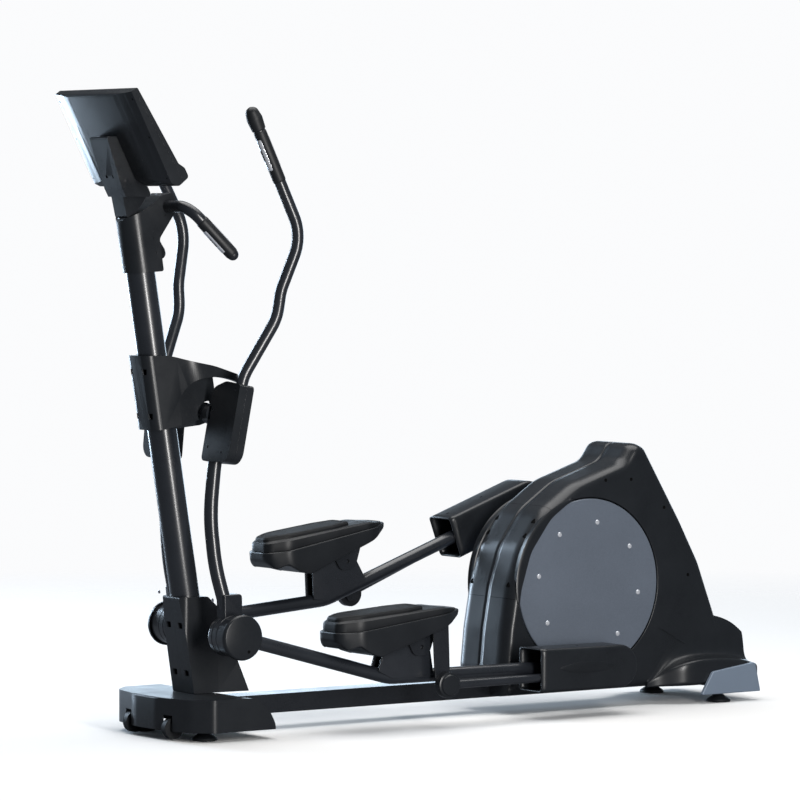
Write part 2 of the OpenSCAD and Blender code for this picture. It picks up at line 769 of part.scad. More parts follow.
module rotate_about(c, a) {
    translate([c.x, 0, c.z]) rotate([0, a, 0]) translate([-c.x, 0, -c.z]) children();
}

module crank_disc(side) {
    color([0.37, 0.42, 0.48]) at_frame() scale_y(side)
        translate([crank.x, 0, crank.z]) rotate([-90, 0, 0]) rotate_extrude($fn = 128)
            polygon([[0, disc_in], [disc_d / 2, disc_in], [disc_d / 2, disc_out - 2],
                [disc_d / 2 - 2, disc_out], [0, disc_out]]);
}

// Dome rivets in a ring on each disc.
module disc_rivets() {
    color([0.8, 0.82, 0.85]) at_frame() for (s = [-1, 1], i = [0:rivet_count - 1])
        rotate_about(crank, i * 360 / rivet_count + 9.7) translate([crank.x + rivet_ring, s * disc_out, crank.z])
            rotate([-s * 90, 0, 0]) rotate_extrude()
                polygon([[0, 0], [7, 0], [7, 1], [6, 2.2], [3.5, 3], [0, 3]]);
}

function idler_at() =
    let (a = [crank.x, crank.z], b = [flywheel.x, flywheel.z], u = unit(b - a),
         s = (pulley_r - small_pulley_r) / norm(b - a), n = [-u[1], u[0]],
         m = u * s - n * sqrt(1 - s * s))
    (a + b) / 2 + m * ((pulley_r + small_pulley_r) / 2 + gap + belt_t + gap + idler_r);

module belt_loop(grow) {
    a = [crank.x, crank.z];
    b = [flywheel.x, flywheel.z];
    u = unit(b - a);
    s = (pulley_r - small_pulley_r) / norm(b - a);
    k = sqrt(1 - s * s);
    n = [-u[1], u[0]];
    r1 = pulley_r + grow;
    r2 = small_pulley_r + grow;
    up = u * s + n * k;
    dn = u * s - n * k;
    y_rod(a, r1, belt_y0 - (grow > gap ? 0 : 1), belt_y1 + (grow > gap ? 0 : 1));
    y_rod(b, r2, belt_y0 - (grow > gap ? 0 : 1), belt_y1 + (grow > gap ? 0 : 1));
    side_extrude([a + up * r1, b + up * r2, b + dn * r2, a + dn * r1],
        belt_y0 - (grow > gap ? 0 : 1), belt_y1 + (grow > gap ? 0 : 1));
}

module drive_belt() {
    color([0.04, 0.04, 0.04]) at_frame() difference() {
        belt_loop(gap + belt_t);
        belt_loop(gap);
    }
}

module idler_pulley() {
    color([0.3, 0.31, 0.33]) at_frame() {
        y_rod(idler_at(), idler_r, belt_y0, belt_y1);
        y_rod(idler_at(), 6 - fit_gap, belt_y0 - 8, plate_y + plate_t);
    }
}

module flywheel_wheel() {
    color([0.35, 0.36, 0.38]) at_frame() {
        difference() {
            y_rod([flywheel.x, flywheel.z], flywheel_d / 2, -34, 6);
            for (y = [-36, -6]) difference() {
                y_rod([flywheel.x, flywheel.z], flywheel_d / 2 - 24, y, y + 14);
                y_rod([flywheel.x, flywheel.z], 30, y, y + 14);
            }
        }
        y_rod([flywheel.x, flywheel.z], small_pulley_r, 6, belt_y1 + 2);
        y_rod([flywheel.x, flywheel.z], 8 - fit_gap, -plate_y - plate_t - 4, plate_y + plate_t + 4);
    }
}

// Curved magnet shoe that brakes the flywheel's rim.
module brake_magnet() {
    color([0.25, 0.26, 0.28]) at_frame() difference() {
        y_rod([flywheel.x, flywheel.z], flywheel_d / 2 + 16, -38, 10);
        y_rod([flywheel.x, flywheel.z], flywheel_d / 2 + 2, -50, 50);
        translate([flywheel.x - 400, -60, flywheel.z - 400]) cube([800, 120, 420]);
        translate([flywheel.x - 400, -60, flywheel.z - 10]) cube([420, 120, 420]);
    }
}

// ---------------------------------------------------------------- swing arm
arm_low = [[-4, lower_y, -26], [-19.7, lower_y, -135], [-31, 136, -272], [-18, 152, -410], [10, 171, -520]];
module swing_arm(side) {
    color([0.13, 0.14, 0.16]) arm_place(side) difference() {
        union() {
            y_rod([0, 0], 28, hub_in, casing_in - 3);
            y_rod([0, 0], 19, hub_in, hub_out);
            rotate([0, casing_lean, 0]) translate([-3, casing_in + 4, casing_bottom + 12])
                cube([6, handle_y - handle_d / 2 - 1.5 - casing_in - 4, casing_length - 60]);
            rotate([0, casing_lean, 0]) translate([0, handle_y, -60]) cylinder(h = 96, r = handle_d / 2 + 3);
            bent_tube(arm_low, lower_tube_d / 2, 600, tube_wall);
            rotate([0, -4, 0]) translate([-44, 150, -556]) cube([58, drum_mid - 153.5, 74]);
            y_rod(hub_local, drum_d / 2, drum_in, drum_mid);
            y_rod(hub_local, axle_d / 2, drum_mid - 5, drum_out - 1);
        }
        y_rod([0, 0], axle_d / 2 + fit_gap, 0, hub_out + 1);
        rotate([0, casing_lean, 0]) translate([0, handle_y, -61]) cylinder(h = 98, r = handle_d / 2 + 0.1);
    }
}

// Centre line of a moving handle above its straight foot.
handle_path = [[99, 226, 266], [103, 233, 340], [148, 256, 490], [8, 240, 766]];
handle_foot = -55;
handle_straight = 105;
module handle_tube(side) {
    a = [sin(casing_lean), 0, cos(casing_lean)];
    foot = [0, handle_y, 0];
    pts = concat([foot + a * handle_foot, foot + a * handle_straight], handle_path);
    color([0.13, 0.14, 0.16]) arm_place(side) bent_tube(pts, handle_d / 2, 140, tube_wall);
}

// Ovoid cap at the top of a moving handle.
module handle_cap(side) {
    top = len(handle_path) - 1;
    r = handle_d / 2;
    u = unit(handle_path[top] - handle_path[top - 1]);
    color([0.04, 0.04, 0.045]) arm_place(side) translate(handle_path[top])
        rotate([0, acos(u.z), atan2(u.y, u.x)]) translate([0, 0, gap]) rotate_extrude()
            polygon(rounded([[0, 0, 0], [r + 2.75, 0, 4], [r + 5.75, 34, 18], [r, 62, 16], [0, 68, 0]]));
}

module casing_block(inset) {
    rotate([0, casing_lean, 0]) translate([-casing_depth / 2 + inset, 0, 0]) rotate([90, 0, 90])
        linear_extrude(casing_depth - 2 * inset) polygon(rounded([[casing_in + inset, casing_bottom + inset, 14],
            [casing_out - inset, casing_bottom + inset, 36], [casing_out - inset, casing_top - inset, 12],
            [casing_in + 62, casing_top + 6 - inset, 60], [casing_in + inset, casing_top - 14 - inset, 30]]));
}

module arm_casing(side, front) {
    color([0.08, 0.085, 0.095]) arm_place(side) difference() {
        casing_block(0);
        casing_block(casing_wall);
        rotate([0, casing_lean, 0]) translate([front ? -seam : -200 + seam, 0, -300]) cube([200, 400, 600]);
        y_rod([0, 0], 29, 0, casing_in + 10);
        rotate([0, casing_lean, 0]) translate([0, handle_y, 0]) cylinder(h = 200, r = handle_d / 2 + 1);
        bar(arm_low[0], 1.3 * arm_low[1] - 0.3 * arm_low[0], lower_tube_d / 2 + 1.5);
        if (front) rotate([0, casing_lean, 0]) for (p = casing_screws)
            translate([-casing_depth, p[0], p[1]]) rotate([0, 90, 0]) cylinder(h = casing_depth / 2 + 6, r = 3.5);
    }
}
casing_screws = [[112, 66], [208, 66], [112, 8], [118, -92], [190, -104]];

// ---------------------------------------------------------------- pedal lever
lever_bend = [505, -80];
bearing_in = lever_y - 17;
bearing_out = lever_y + 19;
module pedal_lever(side) {
    pts = [[0, lever_y, 0], [lever_bend[0], lever_y, lever_bend[1]], [lever_length, lever_y, 0]];
    color([0.13, 0.14, 0.16]) lever_place(side) difference() {
        union() {
            bent_tube(pts, lever_d / 2, 160, tube_wall);
            y_rod([0, 0], drum_d / 2, drum_mid + 0.5, drum_out);
            y_rod([lever_length, 0], 32, bearing_in, bearing_out);
            for (y = [lever_y - lever_d / 2 - 3, lever_y + lever_d / 2 - 3]) lever_cheek(y);
        }
        y_rod([0, 0], axle_d / 2 + fit_gap, 100, 300);
        y_rod([lever_length, 0], pin_r, 100, 300);
        y_rod(pedal_pin, pedal_pin_d / 2 + fit_gap, 100, 300);
    }
}

// Plate welded to a side of the lever tube that carries the pedal's pin.
module lever_cheek(y) {
    side_extrude(rounded([[455, -64, 0], [470, 12, 6], [560, 34, 20], [608, 38, 24], [622, 0, 24],
        [640, -62, 0], [505, -78, 30]]), y, y + 6);
}

module hub_cap(side) {
    color([0.09, 0.1, 0.11]) lever_place(side) difference() {
        rotate([-90, 0, 0]) rotate_extrude($fn = 96)
            polygon([[0, drum_out], [drum_cap_d / 2, drum_out], [drum_cap_d / 2, drum_cap_out - 7],
                [drum_cap_d / 2 - 6, drum_cap_out], [0, drum_cap_out]]);
        y_rod([0, 0], axle_d / 2 + 2, drum_out - 3, drum_out + 3);
        y_rod([20, -36], 3.5, drum_cap_out - 3, drum_cap_out + 1);
    }
}

module crank_pin(side) {
    color([0.6, 0.62, 0.65]) lever_place(side) y_rod([lever_length, 0], pin_r, pin_in, bearing_out + 10);
}

// Stadium outline of the crank cover about the crank pin, with a square front end.
module cover_block(inset) {
    r = cover_r - inset;
    y_rod([0, 0], r, cover_in + inset, cover_out - inset);
    translate([-cover_front + inset, cover_in + inset, -r])
        cube([cover_front - inset, cover_out - cover_in - 2 * inset, 2 * r]);
}

// Draw the children about the crank pin, in line with the rear stretch of the lever.
module cover_place(side) {
    rise = atan2(-lever_bend[1], lever_length - lever_bend[0]);
    lever_place(side) translate([lever_length, 0, 0]) rotate([0, -rise, 0]) children();
}

module crank_cover(side) {
    color([0.07, 0.075, 0.085]) cover_place(side) difference() {
        cover_block(0);
        cover_block(shell_wall);
        y_rod([0, 0], 24, cover_in - 10, cover_in + 10);
        translate([-cover_front - 10, cover_in + 4, -56])
            cube([20, cover_out - cover_in - 8, 84]);
        translate([-cover_front - 10, cover_in - 10, -seam])
            cube([2 * cover_front, 200, 2 * seam]);
    }
}

// ---------------------------------------------------------------- pedal
ear_in = [lever_y - lever_d / 2 - 3 - 7.5, lever_y + lever_d / 2 + 4.5];
pedal_rot = 3.6;
pedal_half = pedal_width / 2;
shell_low = [[pedal_nose, 26, 20], [-196, -6, 20], [-160, -17, 20], [-96, 5, 0], [56, 56, 0], [86, 70, 8],
    [pedal_tail, 86, 6], [pedal_tail - 4, 99.5, 2], [-240, 55, 4], [pedal_nose, 52, 4]];

module pedal_plan(inset, z0, z1) {
    plan_extrude([for (p = rounded(mirrored([[pedal_nose + inset, pedal_half - 34 - inset, 30],
        [-225, pedal_half - inset, 40], [pedal_tail - 60, pedal_half - inset, 60],
        [pedal_tail - inset, pedal_half - 44 - inset, 24]]))) p + [0, pedal_y]], z0, z1);
}

module foot_shell(side) {
    color([0.075, 0.08, 0.09]) pedal_place(side) difference() {
        intersection() {
            side_extrude(rounded(shell_low), pedal_y - pedal_half, pedal_y + pedal_half);
            pedal_plan(0, -60, 140);
        }
        intersection() {
            side_extrude([for (p = rounded(shell_low)) p + [0, shell_wall]],
                pedal_y - pedal_half, pedal_y + pedal_half);
            pedal_plan(shell_wall, -60, 140);
        }
        translate([-172, ear_in[0] - 1, -60]) cube([238, ear_in[1] - ear_in[0] + 8, 200]);
        translate([18, strut_y - gap, -60]) cube([58, 6 + 2 * gap, 200]);
    }
}

strut_y = 262;
module foot_frame(side) {
    color([0.1, 0.105, 0.115]) pedal_place(side) difference() {
        union() {
            for (y = ear_in) side_extrude(rounded([[-60, 46, 0], [-24, -24, 24], [24, -24, 24],
                [50, 46, 0], [50, 62, 0], [-60, 48, 0]]), y, y + 6);
            y_rod([0, 0], pedal_pin_d / 2, ear_in[0], ear_in[1] + 6);
            side_extrude([[-60, 44], [60, 62], [60, 67], [-60, 49]], ear_in[0], strut_y + 6);
            side_extrude(rounded([[22, 60, 0], [30, -90, 10], [48, -126, 12], [80, -126, 12],
                [74, 65, 0]]), strut_y, strut_y + 6);
            y_rod(strut_joint, 9, strut_y, rod_y + 13);
        }
        y_rod([0, 0], 6, 100, 300);
    }
}

module foot_pad(side) {
    color([0.05, 0.05, 0.055]) pedal_place(side) difference() {
        intersection() {
            side_extrude(rounded([[pedal_nose + 8, 56, 6], [pedal_nose + 12, 92, 10], [-236, 96, 30],
                [76, 117, 20], [108, 109, 6], [pedal_tail - 6, 100.4, 4], [-240, 56, 2]]),
                pedal_y - 90, pedal_y + 90);
            pedal_plan(8, 0, 200);
        }
        translate([0, pedal_y, 0]) rotate([0, -pedal_rot, 0]) translate([-210, -48, 104]) cube([400, 96, 30]);
        side_extrude([[-320, 0], [-320, 53], [-240, 55.3], [pedal_tail - 4, 99.8], [pedal_tail + 20, 99.8],
            [pedal_tail + 20, 0]], 100, 320);
    }
}

module control_rod(side) {
    j = [strut_joint[0], rod_y, strut_joint[1]];
    len = lever_length - pedal_pin[0] - strut_joint[0] - 90;
    color([0.1, 0.105, 0.115]) pedal_place(side) difference() {
        union() {
            y_rod(strut_joint, 36, rod_y - 12.5, rod_y + 12);
            y_rod(strut_joint, 27, rod_y + 12, rod_y + 17);
            bar(j, j + [len * cos(rod_rise(side)), 0, len * sin(rod_rise(side))], rod_r);
        }
        y_rod(strut_joint, 9 + fit_gap, 200, rod_y + 13.5);
    }
}

// Slope of the control rod, which ends beside the crank pin inside the cover.
function rod_rise(side) =
    let (j = lever_point(side, pedal_pin) + rot2(strut_joint, pedal_turn(side)),
         q = lever_point(side, [lever_length - 40, -22]))
    atan2(q[1] - j[1], q[0] - j[0]) - pedal_turn(side);

base_frame();
mast_tube();
pivot_axle();
mast_boot(-1);  // mast_boot_left
mast_boot(1);  // mast_boot_right
base_cover();
wheel_forks();
arm_shroud(-1);  // arm_shroud_left
arm_shroud(1);  // arm_shroud_right
head_casing();
fixed_handlebar();
pulse_plates();
console_back();
console_front();
console_screen();
console_neck();
housing_shell(-1);  // housing_left
housing_shell(1);  // housing_right
rear_end_caps();
crank_bearings();
drive_belt();
brake_magnet();
crank_shaft();
crank_pulley();
crank_disc(-1);  // crank_disc_left
crank_disc(1);  // crank_disc_right
disc_rivets();
flywheel_wheel();
idler_pulley();
swing_arm(-1);  // swing_arm_left
swing_arm(1);  // swing_arm_right
handle_tube(-1);  // handle_left
handle_tube(1);  // handle_right
handle_cap(-1);  // handle_cap_left
handle_cap(1);  // handle_cap_right
arm_casing(-1, true);  // arm_casing_front_left
arm_casing(1, true);  // arm_casing_front_right
arm_casing(-1, false);  // arm_casing_rear_left
arm_casing(1, false);  // arm_casing_rear_right
pedal_lever(-1);  // pedal_lever_left
pedal_lever(1);  // pedal_lever_right
hub_cap(-1);  // hub_cap_left
hub_cap(1);  // hub_cap_right
crank_pin(-1);  // crank_pin_left
crank_pin(1);  // crank_pin_right
crank_cover(-1);  // crank_cover_left
crank_cover(1);  // crank_cover_right
foot_frame(-1);  // foot_frame_left
foot_frame(1);  // foot_frame_right
foot_shell(-1);  // foot_shell_left
foot_shell(1);  // foot_shell_right
foot_pad(-1);  // foot_pad_left
foot_pad(1);  // foot_pad_right
control_rod(-1);  // control_rod_left
control_rod(1);  // control_rod_right
transport_wheels();
levelling_foot(foot_front_x, -1);  // foot_front_left
levelling_foot(foot_front_x, 1);  // foot_front_right
levelling_foot(foot_rear_x, -1);  // foot_rear_left
levelling_foot(foot_rear_x, 1);  // foot_rear_right
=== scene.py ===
"""Looks of an elliptical trainer: finishes, smooth shells, tubes, pedals, trim, stage and camera."""
import json
import math

import bmesh
import bpy
import numpy as np
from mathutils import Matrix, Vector

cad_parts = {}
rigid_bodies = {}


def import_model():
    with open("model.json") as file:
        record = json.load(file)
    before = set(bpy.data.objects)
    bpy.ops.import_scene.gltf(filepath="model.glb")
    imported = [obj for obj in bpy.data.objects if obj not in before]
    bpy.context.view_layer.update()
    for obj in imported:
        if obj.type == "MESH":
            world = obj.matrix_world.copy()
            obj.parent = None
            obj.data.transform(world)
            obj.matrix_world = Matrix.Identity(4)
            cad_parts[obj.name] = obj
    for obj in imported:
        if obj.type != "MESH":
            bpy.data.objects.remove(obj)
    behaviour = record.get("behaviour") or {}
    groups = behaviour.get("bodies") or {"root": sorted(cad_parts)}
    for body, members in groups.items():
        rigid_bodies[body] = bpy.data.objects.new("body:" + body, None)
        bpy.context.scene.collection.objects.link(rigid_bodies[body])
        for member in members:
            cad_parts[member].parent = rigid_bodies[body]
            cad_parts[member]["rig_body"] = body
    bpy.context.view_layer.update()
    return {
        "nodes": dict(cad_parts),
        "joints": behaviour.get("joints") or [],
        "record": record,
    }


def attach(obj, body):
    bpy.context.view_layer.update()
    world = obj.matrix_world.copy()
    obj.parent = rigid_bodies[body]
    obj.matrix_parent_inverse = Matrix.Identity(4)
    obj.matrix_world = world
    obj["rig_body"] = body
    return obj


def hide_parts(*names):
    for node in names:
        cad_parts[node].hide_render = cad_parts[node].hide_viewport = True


bl_info = {
    "name": "Elliptical Trainer Looks",
    "version": (1, 0, 0),
    "blender": (4, 5, 0),
    "location": "3D View > Sidebar > Trainer",
    "description": "Builds the smooth shells, tubes, trim and finishes of an elliptical trainer",
    "category": "Object",
}

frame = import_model()

MM = 0.001
SIDES = {"left": -1, "right": 1}
JOINTS = {joint["name"]: joint for joint in frame["joints"]}


# ---------------------------------------------------------------- places taken from the frame
def joint_xz(name):
    """X and Z of a joint's axis, in metres."""
    place = JOINTS[name]["pos_m"]
    return np.array([place[0], place[2]])


CRANK = joint_xz("crank_spin")
PIVOT = joint_xz("left_swing")
# The outlines are drawn in the machine's own X, which starts at the front base.
MACHINE_X = CRANK[0] - 1.343


class Place:
    """A local frame in the XZ plane: origin, turn in degrees, and side of the machine."""

    def __init__(self, origin, turn, side):
        self.origin = np.asarray(origin, float)
        self.turn = math.radians(turn)
        self.side = side

    def __call__(self, points):
        """Turn local x and z by the angle, add the origin and mirror y by the side."""
        points = np.asarray(points, float) * MM
        c, s = math.cos(self.turn), math.sin(self.turn)
        x, y, z = points[..., 0], points[..., 1], points[..., 2]
        return np.stack([self.origin[0] + x * c - z * s, self.side * y,
                         self.origin[1] + x * s + z * c], axis=-1)


def turn_of(vector):
    """Angle of a vector in the XZ plane, in degrees from X."""
    return math.degrees(math.atan2(vector[1], vector[0]))


HUB_LOCAL = np.array([22, -595]) * MM
LEVER_LENGTH = (CRANK[0] - PIVOT[0]) / MM
LEVER_BEND = (505, -80)
PEDAL_PIN = (586, 11)
PEDAL_SHARE = 0.17
CASING_LEAN = 8.3
MACHINE = {name: Place((MACHINE_X, 0), 0, side) for name, side in SIDES.items()}
ARM, LEVER, PEDAL, CASING, COVER = {}, {}, {}, {}, {}
for _name, _side in SIDES.items():
    _hub = joint_xz(_name + "_lever")
    _turn = turn_of(_hub - PIVOT) - turn_of(HUB_LOCAL)
    ARM[_name] = Place(PIVOT, _turn, _side)
    CASING[_name] = Place(PIVOT, _turn - CASING_LEAN, _side)
    _pin = joint_xz(_name + "_pedal")
    _lever = turn_of(_pin - _hub) - turn_of(PEDAL_PIN)
    LEVER[_name] = Place(_hub, _lever, _side)
    _lean = PEDAL_SHARE * (_lever - math.degrees(LEVER["left"].turn))
    PEDAL[_name] = Place(_pin, _lean, _side)
    _rise = turn_of((LEVER_LENGTH - LEVER_BEND[0], -LEVER_BEND[1]))
    _crank_pin = LEVER[_name]((LEVER_LENGTH, 0, 0))
    COVER[_name] = Place((_crank_pin[0], _crank_pin[2]), _lever + _rise, _side)


# ---------------------------------------------------------------- outlines and grids
def unit(vector):
    """The vector over its length."""
    return vector / np.linalg.norm(vector, axis=-1, keepdims=True)


def rounded(corners, steps=8):
    """Closed outline through corners [x, y, radius]: each corner is an arc tangent to both its sides."""
    corners = np.asarray(corners, float)
    spots, radii = corners[:, :2], corners[:, 2]
    out = []
    for before, spot, after, radius in zip(np.roll(spots, 1, 0), spots, np.roll(spots, -1, 0), radii):
        u, v = unit(before - spot), unit(after - spot)
        half = math.acos(np.clip(u @ v, -1, 1)) / 2
        if radius <= 0 or half > 1.569:
            out.append(spot[None])
            continue
        reach = radius / math.tan(half)
        centre = spot + unit(u + v) * radius / math.sin(half)
        start, end = spot + u * reach - centre, spot + v * reach - centre
        first = math.atan2(start[1], start[0])
        sweep = (math.atan2(end[1], end[0]) - first + 3 * math.pi) % (2 * math.pi) - math.pi
        angles = first + sweep * np.linspace(0, 1, steps + 1)
        out.append(centre + radius * np.stack([np.cos(angles), np.sin(angles)], -1))
    return np.concatenate(out)


def resample(outline, count):
    """Closed outline as count points at equal steps of arc length."""
    loop = np.vstack([outline, outline[:1]])
    run = np.concatenate([[0], np.cumsum(np.linalg.norm(np.diff(loop, axis=0), axis=1))])
    at = np.linspace(0, run[-1], count, endpoint=False)
    return np.stack([np.interp(at, run, loop[:, k]) for k in range(loop.shape[1])], -1)


def mirrored(corners):
    """Plan outline given on one side from nose to tail, joined to its mirror image in y."""
    corners = np.asarray(corners, float)
    return np.vstack([corners, corners[::-1] * [1, -1, 1]])


def inward(outline):
    """Unit normals of a closed outline that point to its inside."""
    tangent = unit(np.roll(outline, -1, 0) - np.roll(outline, 1, 0))
    normal = np.stack([-tangent[:, 1], tangent[:, 0]], -1)
    x, y = outline[:, 0], outline[:, 1]
    area = np.sum(x * np.roll(y, -1) - np.roll(x, -1) * y)
    return normal if area > 0 else -normal


def pillow(outline, low, high, edge_low, edge_high, steps=5):
    """Rings of a slab with rounded rims: the outline moves inwards by r(1 - cos t) while the height
    runs r sin t short of each face, so both rims are quarter circles."""
    normal = inward(outline)
    turn = np.linspace(0, math.pi / 2, steps + 1)
    rise = np.concatenate([low + edge_low * (1 - np.sin(turn[::-1])), high - edge_high * (1 - np.sin(turn))])
    inset = np.concatenate([edge_low * (1 - np.cos(turn[::-1])), edge_high * (1 - np.cos(turn))])
    ring = outline[None] + inset[:, None, None] * normal[None]
    return np.concatenate([ring, np.broadcast_to(rise[:, None, None], ring.shape[:2] + (1,))], -1)


def side_slab(outline, y_low, y_high, edge_low, edge_high, steps=5):
    """Pillow of a side outline in x and z, standing from y_low to y_high."""
    return pillow(outline, y_low, y_high, edge_low, edge_high, steps)[..., [0, 2, 1]]


def skin(grid, wrap=True, caps=True):
    """Vertices and faces of a grid of rings: quads between neighbours, one flat face on each end."""
    rows, cols = grid.shape[:2]
    index = np.arange(rows * cols).reshape(rows, cols)
    here = index if wrap else index[:, :-1]
    there = np.roll(index, -1, 1) if wrap else index[:, 1:]
    faces = np.stack([here[:-1], there[:-1], there[1:], here[1:]], -1).reshape(-1, 4).tolist()
    if caps:
        faces += [index[0][::-1].tolist(), index[-1].tolist()]
    return grid.reshape(-1, 3), faces


def lathe(profile, centre, count=64):
    """Rings about a Y axis at centre [x, z]: profile [radius, y] turned through a full circle."""
    profile = np.asarray(profile, float)
    angles = np.linspace(0, 2 * math.pi, count, endpoint=False)
    radius = profile[:, 0][:, None]
    return np.stack([centre[0] + radius * np.cos(angles), np.broadcast_to(profile[:, 1][:, None],
                    (len(profile), count)), centre[1] + radius * np.sin(angles)], -1)


def bent_path(points, bend, steps=10):
    """Centre line through points whose inner corners are arcs of one bend radius."""
    points = np.asarray(points, float)
    out = [points[:1]]
    for before, spot, after in zip(points[:-2], points[1:-1], points[2:]):
        u, v = unit(before - spot), unit(after - spot)
        turn = math.pi - math.acos(np.clip(u @ v, -1, 1))
        centre = spot + unit(u + v) * bend / math.cos(turn / 2)
        first = unit(spot + u * bend * math.tan(turn / 2) - centre)
        angles = turn * np.linspace(0, 1, steps + 1)[:, None]
        out.append(centre + bend * (first * np.cos(angles) - u * np.sin(angles)))
    return np.concatenate(out + [points[-1:]])


def sweep(path, radius, up=(0, 1, 0), count=36):
    """Round tube: a circle of the radius stands square to the path's tangent at every point."""
    path = np.asarray(path, float)
    ahead = np.vstack([path[1:], path[-1:]])
    behind = np.vstack([path[:1], path[:-1]])
    tangent = unit(ahead - behind)
    across = unit(np.cross(np.broadcast_to(up, tangent.shape), tangent))
    over = np.cross(tangent, across)
    angles = np.linspace(0, 2 * math.pi, count, endpoint=False)
    radius = np.broadcast_to(radius, len(path))[:, None, None]
    ring = np.cos(angles)[None, :, None] * across[:, None] + np.sin(angles)[None, :, None] * over[:, None]
    return path[:, None] + radius * ring


def basis(controls, samples, degree=3):
    """Clamped B-spline weights, samples by controls, by the Cox and de Boor recursion."""
    knots = np.concatenate([np.zeros(degree), np.linspace(0, 1, controls - degree + 1), np.ones(degree)])
    t = np.linspace(0, 1 - 1e-9, samples)[:, None]
    weight = ((t >= knots[:-1]) & (t < knots[1:])).astype(float)
    for order in range(1, degree + 1):
        span_a = knots[order:-1] - knots[:-order - 1]
        span_b = knots[order + 1:] - knots[1:-order]
        left = np.where(span_a > 0, (t - knots[:-order - 1]) / np.where(span_a > 0, span_a, 1), 0)
        right = np.where(span_b > 0, (knots[order + 1:] - t) / np.where(span_b > 0, span_b, 1), 0)
        weight = left * weight[:, :-1] + right * weight[:, 1:]
    return weight


def patch(controls, rows, cols, degree=3):
    """Smooth sheet: B-spline weights in both directions times a small net of control points."""
    controls = np.asarray(controls, float)
    across = min(degree, controls.shape[0] - 1)
    along = min(degree, controls.shape[1] - 1)
    return np.einsum("ri,ijk,cj->rck", basis(controls.shape[0], rows, across), controls,
                     basis(controls.shape[1], cols, along))


# ---------------------------------------------------------------- making objects
def make_piece(name, parts, material, body, replaces=(), crease=32):
    """One mesh object from skins, normals outwards, smooth up to the crease angle, riding a body."""
    verts, faces, start = [], [], 0
    for part_verts, part_faces in parts:
        verts.append(part_verts)
        faces += [[start + corner for corner in face] for face in part_faces]
        start += len(part_verts)
    mesh = bpy.data.meshes.new(name)
    mesh.from_pydata(np.concatenate(verts).tolist(), [], faces)
    tidy_mesh(mesh, crease)
    return settle(name, mesh, material, body, replaces)


def tidy_mesh(mesh, crease):
    """Merge doubles, turn the faces outwards and mark edges sharper than the crease angle."""
    work = bmesh.new()
    work.from_mesh(mesh)
    bmesh.ops.remove_doubles(work, verts=work.verts, dist=2e-6)
    bmesh.ops.recalc_face_normals(work, faces=work.faces)
    work.to_mesh(mesh)
    work.free()
    mesh.shade_smooth()
    mesh.set_sharp_from_angle(angle=math.radians(crease))
    mesh.update()


def settle(name, mesh, material, body, replaces=()):
    """Link the mesh as an object, give it its finish, body and slot, and hide what it stands for."""
    piece = bpy.data.objects.new(name, mesh)
    bpy.context.scene.collection.objects.link(piece)
    mesh.materials.clear()
    mesh.materials.append(bpy.data.materials[LOOK + material])
    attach(piece, body)
    if replaces:
        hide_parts(*replaces)
    return piece


def softened(node, edge, segments=3, crease=30):
    """Copy of a CAD node with merged corners, flat faces joined and every hard edge bevelled."""
    source = frame["nodes"][node]
    mesh = source.data.copy()
    work = bmesh.new()
    work.from_mesh(mesh)
    bmesh.ops.remove_doubles(work, verts=work.verts, dist=5e-6)
    bmesh.ops.dissolve_limit(work, angle_limit=math.radians(0.6), verts=work.verts, edges=work.edges)
    work.to_mesh(mesh)
    work.free()
    mesh.shade_smooth()
    mesh.set_sharp_from_angle(angle=math.radians(crease))
    slot = SLOT_OF[node]
    piece = settle(node + "_soft", mesh, FINISH_OF.get(node, slot), source["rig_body"], (node,))
    bevel = piece.modifiers.new("Soft edges", "BEVEL")
    bevel.width = edge * MM
    bevel.segments = segments
    bevel.limit_method = "ANGLE"
    bevel.angle_limit = math.radians(crease)
    bevel.use_clamp_overlap = True
    bevel.harden_normals = True
    return piece


SLOT_OF = {part["node"]: part["material_slot"] for part in frame["record"]["subparts"]}
FINISH_OF = {}


# ---------------------------------------------------------------- finishes
# The frame's own materials already carry the slots' names, so each finish has this before its name.
LOOK = "look_"


class Graph:
    """Small helper that adds and wires the nodes of one material."""

    def __init__(self, name):
        self.material = bpy.data.materials.new(LOOK + name)
        self.material.use_nodes = True
        self.tree = self.material.node_tree
        self.shader = self.tree.nodes["Principled BSDF"]
        self.place = self.add("ShaderNodeTexCoord").outputs["Object"]

    def add(self, kind, inputs=None, **settings):
        node = self.tree.nodes.new(kind)
        for key, value in settings.items():
            setattr(node, key, value)
        for key, value in (inputs or {}).items():
            if hasattr(value, "links"):
                self.tree.links.new(value, node.inputs[key])
            else:
                node.inputs[key].default_value = value
        return node

    def feed(self, socket, source):
        self.tree.links.new(source, self.shader.inputs[socket])

    def noise(self, scale, detail=3.0, rough=0.55, stretch=None):
        place = self.place
        if stretch:
            place = self.add("ShaderNodeMapping", {"Vector": place, "Scale": stretch}).outputs["Vector"]
        return self.add("ShaderNodeTexNoise", {"Vector": place, "Scale": scale, "Detail": detail,
                                               "Roughness": rough}).outputs["Fac"]

    def span(self, source, low, high, start=0.3, end=0.7):
        return self.add("ShaderNodeMapRange", {"Value": source, "From Min": start, "From Max": end,
                                               "To Min": low, "To Max": high}).outputs["Result"]

    def blend(self, factor, first, second):
        node = self.add("ShaderNodeMix", data_type="RGBA")
        self.tree.links.new(factor, node.inputs["Factor"])
        for key, value in (("A", first), ("B", second)):
            socket = [s for s in node.inputs if s.name == key and s.type == "RGBA"][0]
            socket.default_value = (*value, 1)
        return [s for s in node.outputs if s.type == "RGBA"][0]


